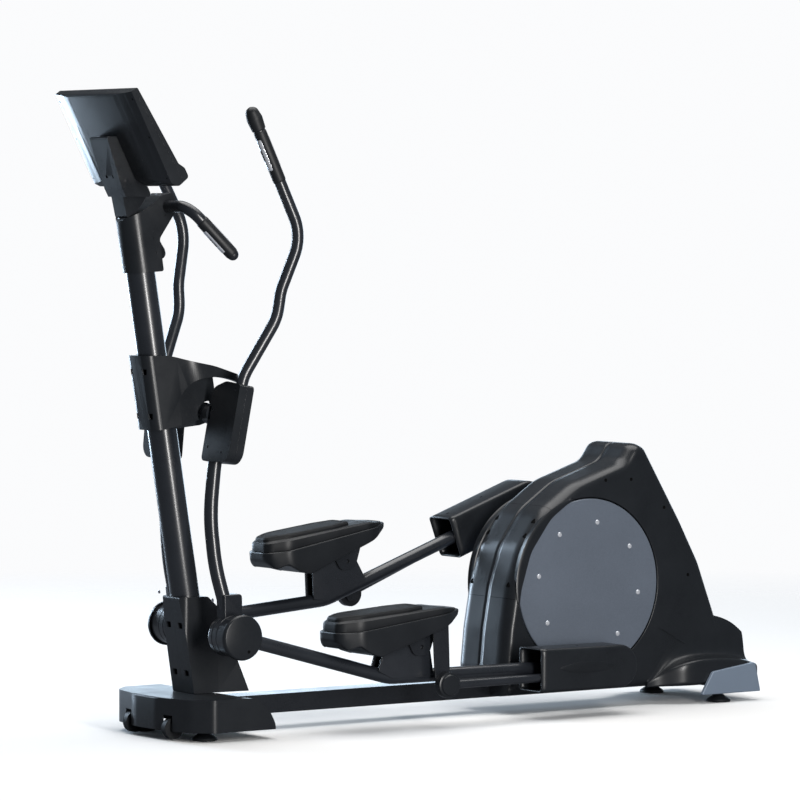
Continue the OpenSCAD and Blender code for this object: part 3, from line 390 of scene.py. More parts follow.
def finish(name, base, shade, rough, grain, metal=0.0, coat=0.0, level=0.5, mottle=9.0, stretch=None):
    """Finish with a mottled colour, a roughness that wanders, and a fine grain as bump.
    rough is (low, high); grain is (scale, depth in metres); shade is the darker colour."""
    graph = Graph(name)
    clouds = graph.noise(mottle, 4.0, 0.6)
    specks = graph.noise(grain[0], 2.0, 0.5, stretch)
    graph.feed("Base Color", graph.blend(graph.span(clouds, 0, 1), shade, base))
    wander = graph.add("ShaderNodeMath", {0: clouds, 1: specks}, operation="MULTIPLY").outputs[0]
    graph.feed("Roughness", graph.span(wander, rough[0], rough[1], 0.12, 0.38))
    bump = graph.add("ShaderNodeBump", {"Height": specks, "Distance": grain[1], "Strength": 1.0})
    graph.feed("Normal", bump.outputs["Normal"])
    graph.shader.inputs["Metallic"].default_value = metal
    graph.shader.inputs["Specular IOR Level"].default_value = level
    graph.shader.inputs["Coat Weight"].default_value = coat
    graph.shader.inputs["Coat Roughness"].default_value = 0.12
    return graph


def speckled_finish(name, base, dark, light):
    """Metallic lacquer: fine dark and bright flakes over the base, under a clear coat."""
    graph = Graph(name)
    flakes = graph.noise(1500.0, 1.0, 0.5)
    clouds = graph.noise(5.0, 3.0, 0.5)
    tone = graph.add("ShaderNodeMath", {0: graph.span(flakes, 0, 0.8, 0.3, 0.7),
                                        1: graph.span(clouds, 0, 0.2)}, operation="ADD").outputs[0]
    ramp = graph.add("ShaderNodeValToRGB", {"Fac": tone})
    ramp.color_ramp.elements[0].color = (*dark, 1)
    ramp.color_ramp.elements[1].color = (*light, 1)
    middle = ramp.color_ramp.elements.new(0.5)
    middle.color = (*base, 1)
    graph.feed("Base Color", ramp.outputs["Color"])
    graph.feed("Roughness", graph.span(flakes, 0.34, 0.5))
    bump = graph.add("ShaderNodeBump", {"Height": flakes, "Distance": 0.000003, "Strength": 0.6})
    graph.feed("Normal", bump.outputs["Normal"])
    graph.shader.inputs["Metallic"].default_value = 0.15
    graph.shader.inputs["Coat Weight"].default_value = 0.25
    graph.shader.inputs["Coat Roughness"].default_value = 0.25
    return graph


def make_finishes(tone):
    """Every finish, named for the record's slots; the plastics, paints, discs and caps take their colour
    from the property group, the rest have fixed colours.
    """
    plastic, paint = np.array(tone.plastic), np.array(tone.paint)
    finish("cover_plastic", plastic, plastic * 0.8, (0.26, 0.36), (1300.0, 0.000004), level=0.42)
    finish("pedal_plastic", plastic * 0.9, plastic * 0.7, (0.3, 0.42), (900.0, 0.000007), level=0.4)
    finish("frame_paint", paint * 0.8, paint * 0.6, (0.24, 0.34), (700.0, 0.000003), level=0.5, coat=0.15)
    finish("tube_paint", paint, paint * 0.75, (0.26, 0.33), (500.0, 0.000002), level=0.6, coat=0.3)
    finish("rubber_black", plastic * 0.75, plastic * 0.5, (0.4, 0.55), (1100.0, 0.00001), level=0.35)
    finish("insole", plastic * 0.5, plastic * 0.35, (0.5, 0.7), (800.0, 0.00002), level=0.25)
    speckled_finish("disc_silver", tone.disc, np.array(tone.disc) * 0.72, np.array(tone.disc) * 1.35)
    speckled_finish("cap_silver", tone.cap, np.array(tone.cap) * 0.8, np.array(tone.cap) * 1.2)
    finish("chrome", (0.86, 0.88, 0.92), (0.78, 0.8, 0.85), (0.12, 0.22), (220.0, 0.000001), metal=0.55)
    finish("steel", (0.56, 0.57, 0.6), (0.42, 0.43, 0.46), (0.2, 0.38), (260.0, 0.000004), metal=1.0,
           stretch=(1, 14, 1))
    finish("cast", (0.2, 0.2, 0.21), (0.12, 0.12, 0.13), (0.45, 0.7), (380.0, 0.00003), metal=0.85)
    finish("screen", (0.006, 0.007, 0.009), (0.004, 0.005, 0.006), (0.05, 0.1), (60.0, 0.000001),
           coat=0.8, level=0.6)
    # hole_black is painted shade: near-black stands in for the shade inside the housing's pockets and screw
    # holes, the cover holes, the sunk screws and the grip slots; on the housing's brow it also colours the
    # dark seams.
    finish("hole_black", (0.002, 0.002, 0.002), (0.001, 0.001, 0.001), (0.8, 0.95), (400.0, 0.00001),
           level=0.1)


class TrainerFinishes(bpy.types.PropertyGroup):
    """Colours of the trainer's finishes, as linear values."""
    plastic: bpy.props.FloatVectorProperty(name="Moulded plastic", subtype="COLOR", size=3, min=0, max=1,
        description="Colour of the covers and casings", default=(0.0125, 0.0145, 0.0175))
    paint: bpy.props.FloatVectorProperty(name="Powder coat", subtype="COLOR", size=3, min=0, max=1,
        description="Colour of the painted tubes and frame", default=(0.0145, 0.017, 0.022))
    disc: bpy.props.FloatVectorProperty(name="Crank disc", subtype="COLOR", size=3, min=0, max=1,
        description="Colour of the lacquered crank discs", default=(0.125, 0.148, 0.185))
    cap: bpy.props.FloatVectorProperty(name="End cap", subtype="COLOR", size=3, min=0, max=1,
        description="Colour of the silver end caps", default=(0.2, 0.25, 0.32))


class TrainerSizes(bpy.types.PropertyGroup):
    """Sizes of the trim that the CAD model leaves plain."""
    cover_edge: bpy.props.FloatProperty(name="Cover edge", unit="LENGTH", subtype="DISTANCE", min=0,
        description="Radius on the edges of moulded covers", default=0.003)
    plate_edge: bpy.props.FloatProperty(name="Plate edge", unit="LENGTH", subtype="DISTANCE", min=0,
        description="Radius on the edges of steel plates", default=0.0012)
    insert_length: bpy.props.FloatProperty(name="Leaf insert", unit="LENGTH", subtype="DISTANCE", min=0,
        description="Length of the raised leaf on the crank covers", default=0.196)


# ---------------------------------------------------------------- pieces
PLAIN_NODES = ("pivot_axle", "crank_bearings", "drive_belt", "brake_magnet", "crank_shaft", "crank_pulley",
               "disc_rivets", "flywheel_wheel", "idler_pulley", "crank_pin_left", "crank_pin_right",
               "console_screen", "transport_wheels", "foot_front_left", "foot_front_right",
               "foot_rear_left", "foot_rear_right", "crank_disc_left", "crank_disc_right", "mast_tube",
               "handle_cap_left", "handle_cap_right")
SOFT_COVERS = ("mast_boot_left", "mast_boot_right", "base_cover", "arm_shroud_left", "arm_shroud_right",
               "head_casing", "console_back", "console_front", "console_neck", "rear_end_caps",
               "arm_casing_front_left", "arm_casing_front_right", "arm_casing_rear_left",
               "arm_casing_rear_right")
SOFT_PLATES = ("base_frame", "wheel_forks", "foot_frame_left", "foot_frame_right")


def dress_plain_nodes():
    """Give the CAD nodes that are shown as they are their finish."""
    for node in PLAIN_NODES:
        piece = frame["nodes"][node]
        piece.data.materials.clear()
        piece.data.materials.append(bpy.data.materials[LOOK + FINISH_OF.get(node, SLOT_OF[node])])


HANDLE_PATH = ((148, 256, 490), (8, 240, 766))
HANDLE_FOOT, HANDLE_STRAIGHT, HANDLE_Y, HANDLE_R, HANDLE_BEND = -55, 105, 200, 16.25, 140


def handle_line():
    """Corner points of a moving handle's centre line in the arm's frame."""
    lean = math.radians(CASING_LEAN)
    axis = np.array([math.sin(lean), 0, math.cos(lean)])
    foot = np.array([0, HANDLE_Y, 0])
    return np.array([foot + axis * HANDLE_FOOT, foot + axis * HANDLE_STRAIGHT, (99, 226, 266),
                     (103, 233, 340), *HANDLE_PATH])


def handles():
    """The two moving handles, each a bent tube."""
    for name in SIDES:
        grid = ARM[name](sweep(bent_path(handle_line(), HANDLE_BEND), HANDLE_R))
        make_piece("moving_handle_" + name, [skin(grid)], "tube_paint", "swing_" + name,
                   ("handle_" + name,))


ARM_LOW = ((-4, 130, -26), (-19.7, 130, -135), (-31, 136, -272), (-18, 152, -410), (10, 171, -520))


def swing_arms():
    """Lower swing tubes with their pivot boss, socket, clamp block and hub drum."""
    hub = HUB_LOCAL / MM
    drum = [(0, 153), (52, 153), (55.2, 155), (56, 158), (56, 171), (54.4, 172.4), (54.4, 174), (56, 175.4),
            (56, 194), (55, 195.5), (0, 195.5)]
    boss = [(0, 62), (27, 62), (28, 63), (28, 91), (27, 92), (19, 92), (19, 150), (0, 150)]
    for name in SIDES:
        place = ARM[name]
        tube = place(sweep(bent_path(ARM_LOW, 600), 19))
        clamp = resample(rounded([(-29, -592, 8), (29, -592, 8), (29, -522, 5), (-29, -522, 5)]), 96)
        web = np.array([[-3, -119], [3, -119], [3, 35], [-3, 35]])
        block = CASING[name](side_slab(web, 99, 183, 0.8, 0.8))
        make_piece("swing_tube_" + name, [skin(tube), skin(place(lathe(drum, hub))),
                                          skin(place(lathe(boss, (0, 0)))), skin(block)],
                   "tube_paint", "swing_" + name, ("swing_arm_" + name,))
        turned = Place(ARM[name].origin, math.degrees(ARM[name].turn) + 4, SIDES[name])
        outline = resample(rounded([(-44, -556, 5), (14, -556, 5), (14, -482, 10), (-44, -482, 5)]), 96)
        make_piece("tube_clamp_" + name, [skin(turned(side_slab(outline, 150, 192, 4, 4)))], "frame_paint",
                   "swing_" + name)


def pedal_levers():
    """Lever tubes with the front drum, the pedal cheeks and the crank bearing."""
    line = [(0, 215, 0), (LEVER_BEND[0], 215, LEVER_BEND[1]), (LEVER_LENGTH, 215, 0)]
    drum = [(0, 196), (55, 196), (56, 197.5), (56, 233), (54.5, 235), (0, 235)]
    bearing = [(0, 198), (31, 198), (32, 199), (32, 233), (31, 234), (0, 234)]
    cheek = resample(rounded([(455, -64, 4), (470, 12, 6), (560, 34, 20), (608, 38, 24), (622, 0, 24),
                              (640, -62, 4), (505, -82, 30)]), 120)
    for name in SIDES:
        place = LEVER[name]
        plates = [skin(place(side_slab(cheek, low, low + 6, 0.8, 0.8))) for low in (193, 231)]
        make_piece("lever_tube_" + name,
                   [skin(place(sweep(bent_path(line, 160), 19))), skin(place(lathe(drum, (0, 0)))),
                    skin(place(lathe(bearing, (LEVER_LENGTH, 0)))), *plates],
                   "tube_paint", "lever_" + name, ("pedal_lever_" + name,))


BAR_Z, BAR_X, BAR_R = 1436, -20, 16


def bar_points():
    """Corner points of the fixed handlebar in the machine's frame."""
    return np.array([(97, 186, 1307), (BAR_X, 150, BAR_Z), (BAR_X, -150, BAR_Z), (97, -186, 1307)], float)


def fixed_handlebar():
    """Fixed handlebar: bent tube whose ends close in quarter circles."""
    path = bent_path(bar_points(), 55)
    ease = np.linspace(0, math.pi / 2, 9)[:-1]
    heading = unit(path[0] - path[1])
    nose = path[0] + heading * (BAR_R * np.cos(ease)[:, None])
    tail_heading = unit(path[-1] - path[-2])
    tail = path[-1] + tail_heading * (BAR_R * np.cos(ease)[::-1, None])
    line = np.vstack([nose, path, tail])
    radius = np.concatenate([BAR_R * np.sin(ease) + 0.05, np.full(len(path), BAR_R),
                             BAR_R * np.sin(ease)[::-1] + 0.05])
    grid = MACHINE["right"](sweep(line, radius, up=(0, 0, 1)))
    make_piece("fixed_bar", [skin(grid)], "frame_paint", "frame", ("fixed_handlebar",))


HOUSING = [(1343 + x, z, r) for x, z, r in (
    (-291, 50, 10), (-297, 130, 30), (-286, 238, 120), (-264, 362, 140), (-229, 470, 140), (-153, 572, 160),
    (-37, 650, 160), (127, 704, 60), (169, 764, 34), (212, 744, 26), (342, 531, 300), (410, 408, 200),
    (492, 196, 90), (541, 134, 60), (563, 108, 10), (565, 50, 6))]
CRANK_LOCAL = np.array([1343.0, 358.0])
DISC_HOLE_R = 249.0


def housing_grid(columns=520):
    """Surface of a housing half. Rings run from the seam to the rim, round the rim into the side face,
    over the face to the disc's circle, down its lip and along the recess floor to the shaft opening."""
    outline = resample(rounded(HOUSING, 10), columns)
    normal = inward(outline)
    angle = np.arctan2(outline[:, 1] - CRANK_LOCAL[1], outline[:, 0] - CRANK_LOCAL[0])
    circle = np.stack([np.cos(angle), np.sin(angle)], -1)
    turn = np.linspace(0, math.pi / 2, 14)
    rings = [(outline, depth) for depth in np.linspace(0.2, 70, 6)]
    rings += [(outline + normal * 27 * (1 - math.cos(t)) ** 1.1, 71.5 + 46.5 * math.sin(t)) for t in turn]
    face = rings[-1][0]
    lip = CRANK_LOCAL + circle * (DISC_HOLE_R + 3)
    rings += [(face * (1 - k) + lip * k, 118) for k in np.linspace(0, 1, 9)[1:]]
    rings += [(CRANK_LOCAL + circle * (DISC_HOLE_R + 3 * (1 - math.sin(t))), 118 - 3 * (1 - math.cos(t)))
              for t in turn[::3]]
    rings += [(CRANK_LOCAL + circle * radius, depth) for radius, depth in ((249, 101.5), (248, 101),
                                                                         (150, 101), (60, 101))]
    return np.stack([np.column_stack([ring[:, 0], np.full(len(ring), depth), ring[:, 1]])
                     for ring, depth in rings])


def housings():
    """Crank housing halves: the housing surface with a wall behind it."""
    grid = housing_grid()
    for name in SIDES:
        piece = make_piece("housing_shell_" + name, [skin(MACHINE[name](grid), caps=False)], "cover_plastic",
                           "frame", ("housing_" + name,), crease=28)
        wall = piece.modifiers.new("Wall", "SOLIDIFY")
        wall.thickness = 0.003
        wall.offset = -1


def surface_frame(grid, row, column):
    """Point, outward normal and two directions in the surface at a spot of the housing grid."""
    along = unit(grid[row, (column + 1) % grid.shape[1]] - grid[row, column - 1])
    down = unit(grid[row + 1, column] - grid[row - 1, column])
    normal = unit(np.cross(along, down))
    spot = grid[row, column]
    middle = np.array([CRANK_LOCAL[0] + 60, 0, CRANK_LOCAL[1]])
    return spot, normal if normal @ (spot - middle) > 0 else -normal, along, np.cross(normal, along)


def nearest_spot(grid, x, z, rows):
    """Row and column of the grid point closest to x and z among some rows."""
    span = np.hypot(grid[rows, :, 0] - x, grid[rows, :, 2] - z)
    row, column = np.unravel_index(np.argmin(span), span.shape)
    return rows[row], column


def on_surface(frame_at, outline, lift):
    """Outline given in the surface's two directions, standing lift above the surface."""
    spot, normal, along, down = frame_at
    return spot + outline[:, :1] * along + outline[:, 1:] * down + normal * np.reshape(lift, (-1, 1))


def dished(frame_at, outline, rim, floor):
    """Recess with a raised rim: rings of the outline step from the surface over the rim to its floor."""
    steps = ((1.0, 0.02), (0.94, rim), (0.84, rim), (0.78, floor), (0.0, floor))
    return np.stack([on_surface(frame_at, outline * scale, lift) for scale, lift in steps])


POCKETS = ((1118, 520), (1069, 372), (1150, 560))
SIDE_SCREWS = ((1612, 565), (1706, 372), (1398, 668), (1500, 662))


def housing_pocket_shade_and_seams():
    """Painted shade of the screw pockets and side screw holes as near-black dishes, and the dark seam across
    the brow, laid on the housing's surface.
    """
    grid = housing_grid()
    triangle = resample(rounded([(-9, -8, 2.5), (10, -1, 2.5), (-7, 9, 2.5)]), 42)
    round_spot = resample(rounded([(-5, -5, 4.9), (5, -5, 4.9), (5, 5, 4.9), (-5, 5, 4.9)]), 32)
    bend, face = list(range(9, 14)), list(range(19, 27))
    dark, ridges = [], []
    # Painted shade: the pockets and the side screw holes are near-black dishes standing on the surface, in
    # place of the shade inside real recesses.
    for x, z in POCKETS:
        dark.append(dished(surface_frame(grid, *nearest_spot(grid, x, z, bend)), triangle, 1.4, 0.25))
    for x, z in SIDE_SCREWS:
        dark.append(dished(surface_frame(grid, *nearest_spot(grid, x, z, face)), round_spot, 0.35, 0.12))
    for x, z in ((1214, 578), (1064, 330)):
        column = nearest_spot(grid, x, z, [6])[1]
        rows = np.arange(1, 27)
        frames = [surface_frame(grid, row, column) for row in rows]
        strip = [[at[0] + at[1] * 0.14 + at[2] * side for side in (-0.45, 0.45)] for at in frames]
        ridges.append(np.array(strip))
    for name in SIDES:
        parts = [skin(MACHINE[name](rings), caps=False) for rings in dark]
        parts += [skin(MACHINE[name](strip), wrap=False, caps=False) for strip in ridges]
        make_piece("housing_trim_" + name, parts, "hole_black", "frame", crease=40)


def fenders():
    """Feet of the housing: a B-spline sheet that leaves the side face in a hollow curve, turns over at
    the shoulder and drops to the lower edge, and that swells from nothing to its full width."""
    stations = np.array([1556, 1584, 1614, 1650, 1700, 1770, 1840, 1885, 1909], float)
    width = np.array([0, 5, 30, 60, 66, 66, 66, 66, 65], float)
    top = np.array([60, 78, 104, 122, 131, 131, 126, 116, 107], float)
    low = 50.0
    rows = []
    for x, w, z in zip(stations, width, top):
        rise = z - low
        rows.append([(x, 110, z + 1.5 * rise), (x, 117, z + 1.1 * rise), (x, 119, z + 0.45 * rise),
                     (x, 118 + 0.22 * w, z + 0.04 * rise), (x, 118 + 0.7 * w, z),
                     (x, 118 + w, z - 0.04 * rise), (x, 118 + w, z - 0.4 * rise),
                     (x, 118 + w, low + 0.2 * rise), (x, 118 + w, low), (x, 110, low)])
    grid = patch(rows, 70, 64)
    for name in SIDES:
        make_piece("housing_foot_" + name, [skin(MACHINE[name](grid), wrap=True)], "cover_plastic",
                   "frame", crease=50)


def crank_covers():
    """Crank covers: a U with a half-round rear end, carried across from side to side with quarter-round
    edges; both sides close on their middle line, the front stays open and a wall is added inwards."""
    reach, edge, low, high, front = 61.0, 11.0, 190.0, 296.0, -280.0
    turns = np.radians(np.linspace(0, 90, 7))
    inset = np.concatenate([edge - edge * np.sin(turns), edge - edge * np.cos(turns)])
    across = np.concatenate([low + edge - edge * np.cos(turns), high - edge + edge * np.sin(turns)])
    run, arc = np.linspace(front, 0, 14), np.radians(np.linspace(-90, 90, 41))
    half = (reach - inset)[:, None]
    x = np.concatenate([run + 0 * half, half * np.cos(arc), run[::-1] + 0 * half], 1)
    z = np.concatenate([-half + 0 * run, half * np.sin(arc), half + 0 * run], 1)
    rows = np.stack([x, across[:, None] + 0 * x, z], -1)
    near = [rows[0] * [1, 1, share] for share in (0, 0.4, 0.8)]
    far = [rows[-1] * [1, 1, share] for share in (0.8, 0.4, 0)]
    grid = np.concatenate([near, rows, far])
    for name in SIDES:
        place = COVER[name]
        ride = "lever_" + name
        cover = make_piece("crank_cover_shell_" + name, [skin(place(grid), wrap=False, caps=False)],
                           "cover_plastic", ride, ("crank_cover_" + name,), crease=40)
        wall = cover.modifiers.new("Wall", "SOLIDIFY")
        wall.thickness = 3.5 * MM
        wall.offset = -1
        # Painted shade: flat near-black discs just above the cover's top stand in for the shade inside its
        # two holes.
        hole_shades = [turned_on((at, 246, 61.02), (0, 0, 1), ((4.2, 0), (4, 0.1), (0, 0.1)), 20)
                 for at in (-246, -120)]
        make_piece("crank_cover_holes_" + name, [skin(place(hole), caps=False) for hole in hole_shades],
                   "hole_black", ride)


def leaf_inserts():
    """Raised leaf on each crank cover: a pointed oval whose height falls as one minus the square of the
    distance to its middle line, thinning to nothing at both tips."""
    along = np.linspace(-1, 1, 49)
    half = bpy.context.scene.trainer_sizes.insert_length / MM / 2
    across = np.linspace(-1, 1, 17)
    shape = (1 - along ** 2) ** 0.75
    x = -118 + half * along[:, None] + 0 * across
    z = 4 + 17 * shape[:, None] * across
    y = 295.6 + 4.0 * (shape[:, None] ** 0.7) * (1 - across ** 2) ** 0.6
    grid = np.stack([x, np.minimum(y, 299.9), z], -1)
    for name in SIDES:
        make_piece("cover_leaf_" + name, [skin(COVER[name](grid), wrap=False, caps=False)],
                   "pedal_plastic", "lever_" + name)


# ---------------------------------------------------------------- pedals
NOSE, TAIL, PEDAL_Y, PEDAL_HALF = -288, 124, 210, 82.5
TRAY_LOW = ((NOSE, 30), (-262, 4), (-232, 16), (-196, -6), (-160, -17), (-96, 5), (56, 56), (86, 70),
            (TAIL, 86))
TRAY_TOP = ((NOSE, 53), (-240, 55.3), (TAIL, 101))
PAD_TOP = ((NOSE, 84), (-240, 91), (-10, 108), (60, 112), (TAIL, 104))


def level(points, soften=16):
    """Height along the pedal as a function of x: straight runs whose corners are arcs."""
    flat = [(x, 0, z) for x, z in points]
    line = bent_path(flat, soften) if len(points) > 2 else np.array(flat, float)
    return lambda x: np.interp(x, line[:, 0], line[:, 2])


def pedal_outline(inset=0.0):
    """Plan of a pedal with rounded ends, drawn inwards by the inset."""
    side = PEDAL_HALF - inset
    corners = mirrored([(NOSE + inset, PEDAL_HALF - 34 - inset, 34 - inset / 2), (-225, side, 50),
                        (TAIL - 60, side, 70), (TAIL - inset, PEDAL_HALF - 44 - inset, 26)])
    return resample(rounded(corners, 10), 180)


def draped(stations, close):
    """Rings of the pedal's plan: each station moves the plan inwards and gives the height of each point
    as its own function of x. The last ring closes on the middle line in steps of close."""
    rings = []
    for inset, height in stations:
        plan = pedal_outline(inset)
        rings.append(np.column_stack([plan[:, 0], plan[:, 1], height(plan[:, 0])]))
    for share in close:
        last = rings[-1]
        plan = pedal_outline(stations[-1][0])
        rings.append(np.column_stack([last[:, 0], plan[:, 1] * share, stations[-1][1](plan[:, 0])]))
    return np.stack(rings)


def pedals():
    """Pedals: a tray with a rolled lip, a pad with a bevelled shoulder, and a raised insole."""
    low, top, crown = level(TRAY_LOW, 12), level(TRAY_TOP), level(PAD_TOP, 30)
    tray = draped([(14, lambda x: low(x) + 1), (6, low), (1.5, lambda x: low(x) + 2),
                   (0.4, lambda x: low(x) + 6),
                   (0.4, lambda x: np.maximum(top(x) - 12, low(x) + 6.5)),
                   (0, lambda x: np.maximum(top(x) - 7, low(x) + 7)),
                   (0, lambda x: np.maximum(top(x) - 2, low(x) + 8)),
                   (1.5, lambda x: np.maximum(top(x), low(x) + 9)),
                   (5, lambda x: np.maximum(top(x), low(x) + 9))], (0.5, 0.0))
    under = tray[0].copy()
    under[:, 1] *= 0
    tray = np.concatenate([under[None], tray])
    pad = draped([(8, lambda x: top(x) - 0.5), (7, lambda x: top(x) + 0.6), (6.6, lambda x: top(x) + 2),
                  (7, lambda x: top(x) + 0.62 * (crown(x) - top(x))),
                  (8, lambda x: top(x) + 0.74 * (crown(x) - top(x))),
                  (14, lambda x: crown(x) - 3.5), (16, lambda x: crown(x) - 3)], (0.6, 0.3, 0.0))
    sole = resample(rounded(mirrored([(-276, 30, 22), (-216, 60, 60), (-60, 62, 60), (2, 44, 20)]), 10), 150)
    steps = ((0.0, -3.2), (0.6, 2.4), (3.6, 6.6), (5.2, 7.4), (15.0, 8.2), (16.4, 7.2), (17.6, 7.2))
    normal = inward(sole)
    insole = [np.column_stack([sole + normal * inset, crown((sole + normal * inset)[:, 0]) + rise])
              for inset, rise in steps]
    insole += [insole[-1] * [1, share, 1] for share in (0.6, 0.3, 0.0)]
    shift = np.array([0, PEDAL_Y, 0])
    for name in SIDES:
        place = PEDAL[name]
        ride = "pedal_" + name
        make_piece("pedal_tray_" + name, [skin(place(tray + shift), caps=False)], "pedal_plastic", ride,
                   ("foot_shell_" + name,), crease=34)
        make_piece("pedal_pad_" + name, [skin(place(pad + shift), caps=False)], "rubber_black", ride,
                   ("foot_pad_" + name,), crease=20)
        make_piece("pedal_insole_" + name, [skin(place(np.stack(insole) + shift), caps=False)], "insole",
                   ride, crease=20)


# ---------------------------------------------------------------- trim
def turned_on(centre, normal, profile, count=28):
    """Rings about any direction: profile [radius, height] turned about the normal at a centre."""
    normal = unit(np.asarray(normal, float))
    side = unit(np.cross(normal, (0, 1, 0) if abs(normal[1]) < 0.9 else (1, 0, 0)))
    other = np.cross(normal, side)
    angles = np.linspace(0, 2 * math.pi, count, endpoint=False)[None, :, None]
    profile = np.asarray(profile, float)
    return (np.asarray(centre, float) + profile[:, 1][:, None, None] * normal
            + profile[:, 0][:, None, None] * (np.cos(angles) * side + np.sin(angles) * other))


SCREW = ((0, 0.2), (3.4, 0.2), (3.4, 1.6), (3.0, 2.2), (1.7, 2.4), (1.5, 1.0), (0, 1.0))
HUB_CAP = ((0, 235), (61.5, 235), (61.5, 242.4), (61, 243.6), (57.4, 247.4), (56, 248), (0, 248))


def hub_caps():
    """Caps of the front joints: a disc with a bevelled rim, and a flat near-black disc as the painted shade
    of one sunk screw.
    """
    for name in SIDES:
        place = LEVER[name]
        make_piece("joint_cap_" + name, [skin(place(lathe(HUB_CAP, (0, 0), 96)))], "cover_plastic",
                   "lever_" + name, ("hub_cap_" + name,), crease=24)
        # Painted shade: a flat near-black disc just above the cap stands in for the shaded socket of the
        # sunk screw.
        ring = ((4.4, 0), (4.2, 0.12), (3.4, 0.12), (3.2, 0.04), (0, 0.04))
        hole = turned_on((20, 248.02, -36), (0, 1, 0), ring)
        make_piece("joint_screw_" + name, [skin(place(hole), caps=False)], "hole_black", "lever_" + name)


STRUT = np.array([62.0, -105.0])


def control_rods():
    """Control rods: a tube from the pedal's strut to the crank cover, with a rimmed round end cap."""
    end = [(0, 268.5), (35, 268.5), (36, 270), (36, 289), (35.2, 291.4), (32.5, 293), (29.6, 293.4),
           (28.6, 295.6), (27, 297.6), (24, 298), (0, 298)]
    bolt_head = ((4.4, -1), (4.4, 1.4), (3.8, 2), (2.4, 2), (2.2, 0.6), (0, 0.6))
    for name in SIDES:
        place, lever = PEDAL[name], LEVER[name]
        joint = place((STRUT[0], 281, STRUT[1]))
        target = lever((LEVER_LENGTH - 40, 281, -22))
        reach = (LEVER_LENGTH - PEDAL_PIN[0] - STRUT[0] - 90) * MM
        tip = joint + unit(target - joint) * reach
        line = joint + np.linspace(0, 1, 12)[:, None] * (tip - joint)
        tube = sweep(line, 12 * MM)
        bolt = place(turned_on((STRUT[0] + 36, 281, STRUT[1] + 3), (1, 0, 0.08), bolt_head))
        make_piece("control_tube_" + name, [skin(tube)], "tube_paint", "rod_" + name,
                   ("control_rod_" + name,))
        make_piece("control_cap_" + name, [skin(place(lathe(end, STRUT, 72))), skin(bolt, caps=False)],
                   "cover_plastic", "rod_" + name, crease=26)


def plate_strip(line, across, radius, half, lift):
    """Sensor plate: a strip of a tube's surface from one end of a line to the other, centred on a direction
    across the tube, standing lift above it, with rounded rims."""
    axis = unit(line[1] - line[0])
    across = unit(across - axis * (across @ axis))
    third = np.cross(axis, across)
    span = np.linspace(0, 1, 26)[:, None, None]
    angles = np.linspace(-half, half, 13)[None, :, None]
    rim = np.minimum(1, np.minimum(np.minimum(span, 1 - span) * 18, (half - abs(angles)) * 8 / half))
    reach = radius + lift * np.sqrt(np.clip(rim, 0, 1)) - 0.3 * (rim < 0.01)
    middle = line[0] + span * (line[1] - line[0])
    return middle + reach * (np.cos(angles) * across + np.sin(angles) * third)


def grips():
    """Sensor plates on the moving handles, and the black sleeves that hold them."""
    corners = handle_line()
    top, below = corners[-1], corners[-2]
    down = unit(below - top)
    sleeve_at, plate_at = top + down * np.array([[2.0], [150.0]]), top + down * np.array([[22.0], [112.0]])
    radius = [16.3, 17.6, 17.8, 17.8, 17.6, 16.3]
    steps = np.array([0, 0.02, 0.05, 0.95, 0.98, 1])[:, None]
    sleeve = sweep(sleeve_at[0] + steps * (sleeve_at[1] - sleeve_at[0]), radius)
    plates = [plate_strip(plate_at, np.array([way, 0.0, 0.0]), 17.8, 0.72, 1.1) for way in (-1, 1)]
    # Painted shade: near-black strips laid just above the sensor plates stand in for the shade in their
    # slots.
    slot_at = top + down * np.array([[52.0], [84.0]])
    slots = [plate_strip(slot_at, np.array([way, -0.1, 0.0]), 18.95, 0.2, 0.15) for way in (-1, 1)]
    for name in SIDES:
        place, ride = ARM[name], "swing_" + name
        make_piece("handle_sleeve_" + name, [skin(place(sleeve))], "rubber_black", ride)
        make_piece("handle_sensor_" + name, [skin(place(strip), wrap=False, caps=False) for strip in plates],
                   "chrome", ride, crease=60)
        make_piece("handle_slot_" + name, [skin(place(strip), wrap=False, caps=False) for strip in slots],
                   "hole_black", ride, crease=60)
    fixed_grips()


def fixed_grips():
    """Sleeves on the fixed handlebar, its sensor plates and near-black strips over them as the painted shade
    of their slots.
    """
    tip, corner = bar_points()[0], bar_points()[1]
    up = unit(corner - tip)
    sleeve = sweep(tip + np.array([0.0, 4, 8, 120, 124, 126])[:, None] * up,
                   [16.3, 17.6, 17.9, 17.9, 17.4, 16.2], up=(0, 0, 1))
    # Painted shade: the slot strips are near-black sheets over the plates in place of the shade in real
    # slots.
    plate_at, slot_at = tip + up * np.array([[22.0], [100.0]]), tip + up * np.array([[46.0], [76.0]])
    ways = [np.array([way * 0.7, 0.0, way]) for way in (-1, 1)]
    plates = [plate_strip(plate_at, way, 17.9, 0.62, 1.1) for way in ways]
    slots = [plate_strip(slot_at, way, 19.05, 0.18, 0.15) for way in ways]
    strips = [skin(MACHINE[name](strip), wrap=False, caps=False) for name in SIDES for strip in plates]
    make_piece("bar_sensors", strips, "chrome", "frame", ("pulse_plates",), crease=60)
    for name in SIDES:
        place = MACHINE[name]
        make_piece("bar_sleeve_" + name, [skin(place(sleeve))], "rubber_black", "frame")
        make_piece("bar_slot_" + name, [skin(place(strip), wrap=False, caps=False) for strip in slots],
                   "hole_black", "frame", crease=60)


CASING_SCREWS = ((112, 66), (208, 66), (112, 8), (118, -92), (190, -104))


